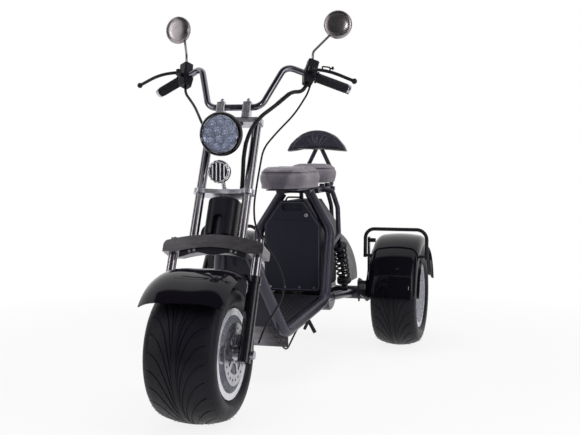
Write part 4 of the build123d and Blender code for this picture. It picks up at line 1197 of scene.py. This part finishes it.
# %% Horn
horn = Vector((0, -0.559, 0.768))
horn_radius = 0.0325
wave_count, wave_height = 16, 0.0011
rim_vertices, rim_faces = ring(horn_radius, 0.0043, horn, forward, 0.0132, 96, 12)
wavy = []
for vertex in rim_vertices:
    flat = Vector((vertex.x - horn.x, 0, vertex.z - horn.z))
    share = 1 if flat.length > horn_radius else 0.2
    wavy.append(vertex + flat.normalized() * wave_height * math.cos(wave_count * math.atan2(flat.z, flat.x)) * share)
new_piece("horn_rim", (wavy, rim_faces), chrome, "steering")
new_piece("horn_dark_disc", drum(0.0295, 0.0150, 0.0163, horn, forward), black_plastic, "steering")
bars = []
for across in (-0.0195, -0.0065, 0.0065, 0.0195):
    half = math.sqrt(0.0285**2 - across**2)
    bars.append(tube([horn + Vector((across, -0.0166, end)) for end in (-half, half)], 0.0025, 10))
new_piece("horn_bars", put_together(bars), rim_alloy, "steering")
print("horn bars", len(bars))

# %% [markdown]
# The mirrors are chrome bowls, and their glass faces the rider. A bent rod carries
# each one from the switch housing. The bar's own line is found first, because the
# rods, the grips and the caps all stand on it.

# %% Mirrors
grip_end = on_fork(0.345, 0.100, 0.958)
bar_knee = on_fork(0.150, -0.015, 0.990)
bar_way = (grip_end - bar_knee).normalized()
grip_inner = grip_end - bar_way * 0.118
switch_middle = grip_inner - bar_way * 0.024
switch_up = (fork_up - bar_way * fork_up.dot(bar_way)).normalized()
mirror_middle = on_fork(0.296, 0.052, 1.184)
bowl_rim = [(0, -0.0072), (0.0450, -0.0072), (0.0458, -0.0080), (0.0480, -0.0080), (0.0490, -0.0066), (0.0490, 0.0)]
bowl_back = [(0.0478, 0.0028), (0.0448, 0.0054), (0.0400, 0.0076), (0.0330, 0.0094), (0.0240, 0.0105)]
bowl_tip = [(0.0130, 0.0110), (0, 0.0111)]
nut_outline = [(0, 0), (0.0085, 0), (0.0085, 0.007), (0.0075, 0.008), (0, 0.008)]
rod_foot = switch_middle + switch_up * 0.046
rod_bend, rod_tip = mirror_middle + Vector((-0.026, 0, -0.034)), mirror_middle + Vector((-0.018, 0.003, -0.026))
rod = rounded([rod_foot, rod_foot + Vector((0, 0, 0.038)), rod_bend, rod_tip], 0.012)
for side, side_name in sides:
    middle = on_side(mirror_middle, side)
    facing = on_side(Vector((0.12, -1, 0.05)), side).normalized()
    bowl = lathe(bowl_rim + bowl_back + bowl_tip, middle, facing, 64)
    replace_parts(new_piece(f"mirror_bowl_{side_name}", bowl, mirror_chrome, "steering", smooth=50), "mirrors")
    glass = drum(0.0448, -0.0079, -0.0071, middle, facing, 64)
    new_piece(f"mirror_glass_{side_name}", glass, mirror_glass, "steering")
    new_piece(f"mirror_rod_{side_name}", tube([on_side(p, side) for p in rod], 0.0042, 14), dark_chrome, "steering")
    nut = lathe(nut_outline, on_side(rod_foot + Vector((0, 0, 0.004)), side), (0, 0, 1), 6)
    new_piece(f"mirror_nut_{side_name}", nut, dark_chrome, "steering", smooth=20)
print("mirror middle", [round(v, 3) for v in mirror_middle])

# %% [markdown]
# The four fork tubes are plain ground bars. Turning them afresh, with many sides,
# keeps their long highlights straight. The grips get raised rings and bright caps.

# %% Fork tubes and grips
tube_radius = 0.0150
upper_tube_x = 0.081
tubes, caps = [], []
for across, low, high in ((upper_tube_x, 0.324, 0.786), (0.142, 0.150, 0.366)):
    for side, _ in sides:
        outline = [(0, 0), (tube_radius, 0), (tube_radius, high - low), (0, high - low)]
        tubes.append(lathe(outline, on_fork(side * across, -0.025, low), fork_up, 72))
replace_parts(new_piece("fork_chrome_tubes", put_together(tubes), fork_chrome, "steering"), "fork_tubes")
cap_outline = [(0, 0), (tube_radius, 0), (tube_radius, 0.002), (0.0125, 0.0045), (0.006, 0.0058), (0, 0.0060)]
for side, _ in sides:
    caps.append(lathe(cap_outline, on_fork(side * upper_tube_x, -0.025, 0.7855), fork_up, 48))
new_piece("fork_tube_caps", put_together(caps), dark_chrome, "steering")
grip_cap = [(0, -0.006), (0.0158, -0.006), (0.0165, -0.004), (0.0165, 0.004), (0.0150, 0.006), (0, 0.0066)]
for side, side_name in sides:
    grip_line = line_carrier([on_side(grip_inner + bar_way * 0.010, side), on_side(grip_end - bar_way * 0.012, side)])
    grow(
        f"grip_rings_{side_name}", ring_tree, grip_line, soft_rubber, "steering",
        Spacing=0.0052, Ring_radius=0.0160, Wire=0.0013,
    )
    cap = lathe(grip_cap, on_side(grip_end, side), on_side(bar_way, side), 40)
    new_piece(f"grip_cap_{side_name}", cap, alloy, "steering")
print("fork tubes", len(tubes))

# %% [markdown]
# The cable wraps are a row of close rings along the straighter part of each loom.

# %% Cable wraps
lower_wrap = (
    (0.062, -0.054, 0.692), (0.0595, -0.049, 0.667), (0.0575, -0.0435, 0.640), (0.0577, -0.0370, 0.616),
    (0.0578, -0.0305, 0.592), (0.0570, -0.0222, 0.564), (0.0562, -0.0160, 0.542),
)
upper_wrap = ((0.172, -0.008, 0.888), (0.156, -0.020, 0.863), (0.144, -0.0283, 0.8437))
for name, wrap, spacing, wire in (("lower", lower_wrap, 0.0062, 0.0014), ("upper", upper_wrap, 0.0070, 0.0013)):
    wrap_line = line_carrier([on_fork(*p) for p in wrap])
    grow(
        f"loom_wrap_{name}", ring_tree, wrap_line, cable_black, "steering",
        Spacing=spacing, Ring_radius=0.0064, Wire=wire,
    )
print("wraps done")

# %% [markdown]
# Under the fork bridge hangs a black plate with a waved lower edge and four bolts.
# It is cut from sheet, so it is drawn as one outline and given its thickness.

# %% Bridge plate
under_half, under_low, under_wave, under_points = 0.112, -0.004, 0.010, 41
under_thickness = 0.004
under_outline = [(-0.112, 0.026), (-0.056, 0.042), (0, 0.048), (0.056, 0.042), (0.112, 0.026)]
for k in range(under_points):
    u = under_half - 2 * under_half * k / (under_points - 1)
    hollow = under_wave * (1 - math.cos(4 * math.pi * u / (2 * under_half))) / 2
    under_outline.append((u, under_low + hollow + 0.010 * (1 - (u / under_half) ** 2)))
under_origin = on_fork(0, -0.046, 0.300)
under = plate(under_outline, under_origin, (1, 0, 0), fork_up, -fork_back, under_thickness)
new_piece("bridge_under_plate", under, satin_black, "steering")
under_bolts = [(-0.078, 0.016), (-0.062, 0.020), (0.062, 0.020), (0.078, 0.016)]
spots = [under_origin + Vector((u, 0, 0)) + fork_up * v - fork_back * under_thickness for u, v in under_bolts]
bolts("bridge_plate_bolts", spots, -fork_back, steel, "steering", Radius=0.0036, Height=0.004)
print("plate outline points", len(under_outline))

# %% [markdown]
# ## Bolts
# The same bolt tree serves the handlebar clamp, the brake disc and the rear hubs.
# Only the marks and the sizes differ. Disc and hubs have theirs in a circle.


# %% Bolts on the fork and the wheels
def wheel_circle(x, radius, turns, middle):
    """Spots in a circle round a wheel's axle, at one distance across."""
    return [Vector((x, middle[1] + radius * math.cos(t), middle[2] + radius * math.sin(t))) for t in turns]


riser_tops = [on_fork(side * 0.046, -0.042, 0.8525) for side, _ in sides]
bolts("riser_bolts", riser_tops, fork_up, dark_chrome, "steering", Radius=0.0042, Height=0.003, Flange=1.2)
pinch = [on_fork(side * upper_tube_x, -0.0480, 0.777) for side, _ in sides]
bolts("clamp_pinch_bolts", pinch, -fork_back, steel, "steering", Radius=0.0040, Height=0.004)
disc_spots = wheel_circle(0.1125, 0.026, circle(5), wheels["front_wheel"])
bolts("disc_bolts", disc_spots, (1, 0, 0), steel, "front_wheel", Radius=0.0036, Height=0.003)
for side, side_name in sides:
    body = f"rear_wheel_{side_name}"
    hub_spots = wheel_circle(side * 0.4275, 0.025, circle(5, 0.5), wheels[body])
    bolts(f"hub_bolts_{side_name}", hub_spots, (side, 0, 0), dark_chrome, body, Radius=0.0046, Height=0.005)
print("bolts done")

# %% [markdown]
# ## Battery cover
# Four screws hold its foot, a keyed lock sits high on the left, and a painted
# highlight runs along the bevelled edge: a fine pale bead on the cover's outline.

# %% Cover screws, lock and edge
cover_y = 0.2730
spots = [Vector((x, cover_y, 0.288)) for x in (-0.090, -0.030, 0.030, 0.090)]
bolts("cover_screws", spots, forward, steel, "frame", Radius=0.0030, Height=0.0024, Flange=1.5)
lock_origin = Vector((0.058, 0.2690, 0.578))
new_piece("lock_ring", drum(0.0078, -0.001, 0.0012, lock_origin, forward, 32), alloy, "frame")
# A thin grey bead round the cover's outline: a painted highlight on the bevelled edge.
half_edge = [(0.100, 0.279), (0.110, 0.289), (0.110, 0.5355), (0.0455, 0.629)]
edge = [(-0.100, 0.279)] + half_edge + [(-x, z) for x, z in half_edge[:0:-1]]
edge_points = [Vector((x, cover_y, z)) for x, z in edge]
highlight_lines = [tube([a, b], 0.0008, 8) for a, b in zip(edge_points, edge_points[1:] + edge_points[:1])]
new_piece("cover_edge_bead", put_together(highlight_lines), edge_grey, "frame")
key_slot = [(-0.0008, -0.004), (0.0008, -0.004), (0.0008, 0.004), (-0.0008, 0.004)]
slot_origin = lock_origin + Vector((0, -0.0011, 0))
new_piece("lock_slot", plate(key_slot, slot_origin, (1, 0, 0), (0, 0, 1), forward, 0.0003), black_plastic, "frame")
print("edge beads", len(highlight_lines))

# %% [markdown]
# ## Small fittings
# A latch sits on the left lever, the tail lamps have moulded ribs, and each wheel
# has a tyre valve. They are thin bars and drums on the parts that carry them.

# %% Latch on the left lever
latch_left, latch_right = on_fork(0.276, -0.002, 0.974), on_fork(0.302, 0.000, 0.971)
rise = Vector((0, 0, 0.016))
arch = rounded([latch_left, latch_left + rise, latch_right + rise, latch_right], 0.004)
knob_outline = [(0, 0), (0.0028, 0), (0.0028, 0.007), (0.0055, 0.007), (0.0055, 0.013), (0, 0.013)]
knob = lathe(knob_outline, latch_right + rise * 0.7, (1, 0, 0.2), 20)
new_piece("lever_latch", put_together([tube(arch, 0.0026, 10), knob]), satin_black, "steering")
print("latch points", len(arch))

# %% Ribs on the tail lamps
lamp_tilt = math.radians(38)
lamp_out = Vector((0, math.cos(lamp_tilt), math.sin(lamp_tilt)))
lamp_along = Vector((0, -math.sin(lamp_tilt), math.cos(lamp_tilt)))
rib_half, rib_pitch, lamp_reach = 0.034, 0.006, 0.2778
ribs = []
for body in ("rear_wheel_left", "rear_wheel_right"):
    for k in range(-2, 3):
        middle = Vector(wheels[body]) + lamp_out * lamp_reach + lamp_along * rib_pitch * k
        ribs.append(tube([middle - Vector((rib_half, 0, 0)), middle + Vector((rib_half, 0, 0))], 0.0014, 8))
new_piece("tail_lamp_ribs", put_together(ribs), red_lens, "frame")
print("ribs", len(ribs))

# %% Tyre valves
valve_foot = [(0, 0), (0.0042, 0), (0.0038, 0.012), (0.0030, 0.014)]
valve_cap = [(0.0034, 0.015), (0.0034, 0.024), (0.0026, 0.026), (0, 0.026)]
valve_turn = math.radians(250)
valve_out = Vector((0, math.cos(valve_turn), math.sin(valve_turn)))
for body, x in (("front_wheel", 0.046), ("rear_wheel_left", 0.425), ("rear_wheel_right", -0.425)):
    foot = Vector((x, *wheels[body][1:])) + valve_out * 0.1135
    new_piece(f"tyre_valve_{body}", lathe(valve_foot + valve_cap, foot, -valve_out, 16), soft_rubber, body)
print("valves done")

# %% [markdown]
# A moulded tyre leaves its mould with fine rubber whiskers, where air vents let a
# little rubber through. They stand in rows along each shoulder. The bolt tree makes
# them too: a whisker is a very slim, tall drum on each mark.

# %% Tyre whiskers
whisker_count = 44
whisker_rows = ((math.radians(48), 0.0), (math.radians(74), 0.5))
shoulder_pivot = 0.172
for body, middle in wheels.items():
    outline = tyre_half_outline(body.replace("wheel", "tyre"), middle)
    leans = np.arctan2(outline[:, 0], outline[:, 1] - shoulder_pivot)
    spots, ways = [], []
    for lean, offset in whisker_rows:
        across, reach = outline[np.argmin(np.abs(leans - lean))]
        for side, _ in sides:
            for turn in circle(whisker_count, offset):
                out = Vector((0, math.cos(turn), math.sin(turn)))
                spots.append(Vector(middle) + Vector((side * across, 0, 0)) + out * reach)
                ways.append(Vector((side * math.sin(lean), 0, 0)) + out * math.cos(lean) * 0.5)
    grow(
        f"tyre_whiskers_{body}", bolt_tree, marks(spots, ways), tyre_rubber, body,
        Radius=0.0005, Height=0.006, Flange=1.2, Corners=5,
    )
print("whiskers on each tyre", len(spots))

# %% [markdown]
# ## Floor, light and camera
# The tricycle stands on a pale floor that runs on into a white background. The floor
# has to look white and still catch a soft shadow, so near the tricycle its material is
# part plain diffuse, part an even glow that only the camera and reflections see. The
# share of glow grows with the distance, so no line shows where floor meets background.


# %% Floor and world
def board(name, corners, material):
    """A flat board of the stage."""
    mesh = bpy.data.meshes.new(name)
    mesh.from_pydata([tuple(p) for p in corners], [], [(0, 1, 2, 3)])
    mesh.materials.append(material)
    return put(name, mesh)


def build_paper():
    paper, patch = material_patch("studio_paper")
    patch.add(
        glow="ShaderNodeEmission",
        rays="ShaderNodeLightPath",
        seen="ShaderNodeMath",
        place="ShaderNodeTexCoord",
        distance="ShaderNodeVectorMath",
        fade="ShaderNodeMapRange",
        share="ShaderNodeMath",
        blend="ShaderNodeMixShader",
    )
    patch.preset({"seen:operation": "MAXIMUM", "distance:operation": "LENGTH", "share:operation": "MULTIPLY"})
    patch.preset({"shader.Base Color": (0.80, 0.80, 0.81, 1), "shader.Roughness": 0.9, "glow.Color": (1, 1, 1, 1)})
    patch.preset({"fade.From Min": 1.0, "fade.From Max": 2.4, "fade.To Min": 0.86, "fade.To Max": 1.0})
    patch.wire(
        """
        rays.Is Camera Ray > seen.0
        rays.Is Glossy Ray > seen.1
        place.Object > distance.0
        distance.Value > fade.Value
        fade.Result > share.1
        seen.0 > share.0
        share.0 > blend.Fac
        shader.BSDF > blend.1
        glow.Emission > blend.2
        blend.Shader > output.Surface
        """
    )
    return paper


def build_world():
    world = bpy.data.worlds.new("studio")
    bpy.context.scene.world = world
    world.use_nodes = True
    patch = Patch(world.node_tree, sky=world.node_tree.nodes["Background"])
    patch.add(rays="ShaderNodeLightPath", strength="ShaderNodeMapRange")
    patch.add(shiny="ShaderNodeMath", seen="ShaderNodeMath")
    patch.preset({"shiny:operation": "MAXIMUM", "seen:operation": "MAXIMUM", "sky.Color": (1, 1, 1, 1)})
    patch.preset({"strength.To Min": 0.26, "strength.To Max": 1.0})
    patch.wire(
        """
        rays.Is Glossy Ray > shiny.0
        rays.Is Transmission Ray > shiny.1
        rays.Is Camera Ray > seen.0
        shiny.0 > seen.1
        seen.0 > strength.Value
        strength.Result > sky.Strength
        """
    )


half_floor = 14.0
floor_corners = [(x * half_floor, y * half_floor, 0) for x, y in ((-1, -1), (1, -1), (1, 1), (-1, 1))]
board("studio_floor", floor_corners, build_paper())
build_world()
print("floor half side", half_floor, "m")

# %% [markdown]
# In an all-white room chrome turns flat. Studios stand black flags out of sight, so
# that chrome tubes and gloss paint get dark streaks between their highlights. These
# flags only exist for reflections: the camera, the shadows and soft light pass them.
# Two thin bright strips do the opposite, and draw a fine line down the gloss fenders.


# %% Flags and strips
def glowing_cloth(name):
    """A material that is nothing but a glow."""
    cloth, patch = material_patch(name)
    patch.tree.nodes.remove(patch.nodes["shader"])
    patch.add(glow="ShaderNodeEmission")
    patch.wire("glow.Emission > output.Surface")
    return cloth, patch


def build_flag_cloth():
    """Dark in the middle and fading to white at its edges, so reflections have no hard border."""
    cloth, patch = glowing_cloth("flag_cloth")
    patch.add(place="ShaderNodeTexCoord", apart="ShaderNodeSeparateXYZ", nearest="ShaderNodeMath")
    patch.add(fade="ShaderNodeMapRange")
    for way in ("X", "Y"):
        patch.add(**{way: "ShaderNodeMath"})
        patch.preset({f"{way}:operation": "PINGPONG", f"{way}.1": 0.5})
        patch.wire(f"apart.{way} > {way}.0")
    patch.preset({"nearest:operation": "MINIMUM", "fade:interpolation_type": "SMOOTHSTEP"})
    patch.preset({"fade.From Min": 0.0, "fade.From Max": 0.09, "fade.To Min": 1.0, "fade.To Max": 0.05})
    patch.wire(
        """
        place.UV > apart.Vector
        X.0 > nearest.0
        Y.0 > nearest.1
        nearest.0 > fade.Value
        fade.Result > glow.Strength
        """
    )
    return cloth


def flag(name, foot, across, up, cloth):
    """A board for reflections only: its foot's middle, half its width and its full height."""
    foot, across, up = Vector(foot), Vector(across), Vector(up)
    flag_board = board(name, [foot - across, foot + across, foot + across + up, foot - across + up], cloth)
    layer = flag_board.data.uv_layers.new(name="board")
    for loop, place in zip(layer.data, ((0, 0), (1, 0), (1, 1), (0, 1))):
        loop.uv = place
    flag_board.visible_camera = flag_board.visible_diffuse = flag_board.visible_shadow = False


flag_cloth = build_flag_cloth()
strip_cloth, strip = glowing_cloth("strip_cloth")
strip.preset({"glow.Strength": 6.0})
flag("studio_flag_front", (0.9, -5.7, -1.0), (5.0, 1.1, 0), (0, 0, 10), flag_cloth)
flag("studio_flag_left", (-4.9, -1.6, -0.5), (0.5, -1.5, 0), (0, 0, 6), flag_cloth)
flag("studio_flag_right", (4.7, 1.4, -0.5), (0.4, 1.6, 0), (0, 0, 6), flag_cloth)
flag("studio_flag_top", (0.3, -4.6, 4.6), (3.6, 0, 0), (0, 4.8, 0), flag_cloth)
flag("studio_flag_floor", (0.9, -5.2, 0.004), (2.6, 0.5, 0), (-0.6, 3.4, 0), flag_cloth)
flag("studio_strip_left", (-2.9, -2.4, 0.9), (0.08, -0.10, 0), (0, 0, 1.9), strip_cloth)
flag("studio_strip_right", (3.1, -1.5, 0.8), (0.06, 0.11, 0), (0, 0, 1.9), strip_cloth)

# %% [markdown]
# One wide panel hangs overhead, two narrow upright ones stand left and right, and a
# small one sits beside the camera. A panel is an area light, and a large one makes soft
# shadows. Only the small one shows in reflections, as a spark on chrome and paint.


# %% Lights
def panel(name, place, aim, width, height, watts, in_reflections=False):
    light = bpy.data.lights.new(name, "AREA")
    light.shape = "RECTANGLE"
    light.size, light.size_y = width, height
    light.energy = watts
    lamp_stand = put(name, light)
    lamp_stand.location = place
    lamp_stand.rotation_euler = (Vector(aim) - Vector(place)).to_track_quat("-Z", "Y").to_euler()
    lamp_stand.visible_glossy = in_reflections


panel("overhead", (0.2, -0.4, 3.4), (0, 0, 0.5), 3.2, 2.4, 66)
panel("left_panel", (-2.9, -2.4, 1.9), (0, -0.2, 0.6), 0.8, 1.8, 32)
panel("right_panel", (3.1, -1.5, 1.7), (0, 0, 0.5), 0.8, 1.8, 38)
panel("camera_panel", (1.9, -4.2, 1.9), (0, -0.2, 0.6), 0.5, 0.6, 13, in_reflections=True)

# %% [markdown]
# The camera stands at the height of the saddles, well back, with a fairly long
# lens, so that the wheels keep their true proportions.

# %% Camera
view = bpy.data.cameras.new("camera")
view.lens = 62.9
view.sensor_width = 36
eye = put("camera", view)
eye.location = (1.123, -3.613, 0.834)
eye.rotation_euler = (math.radians(86.24), 0, math.radians(16.24))
bpy.context.scene.camera = eye
bpy.context.scene.view_settings.view_transform = "Standard"
print("camera", tuple(round(v, 3) for v in eye.location), "lens", round(view.lens, 1))
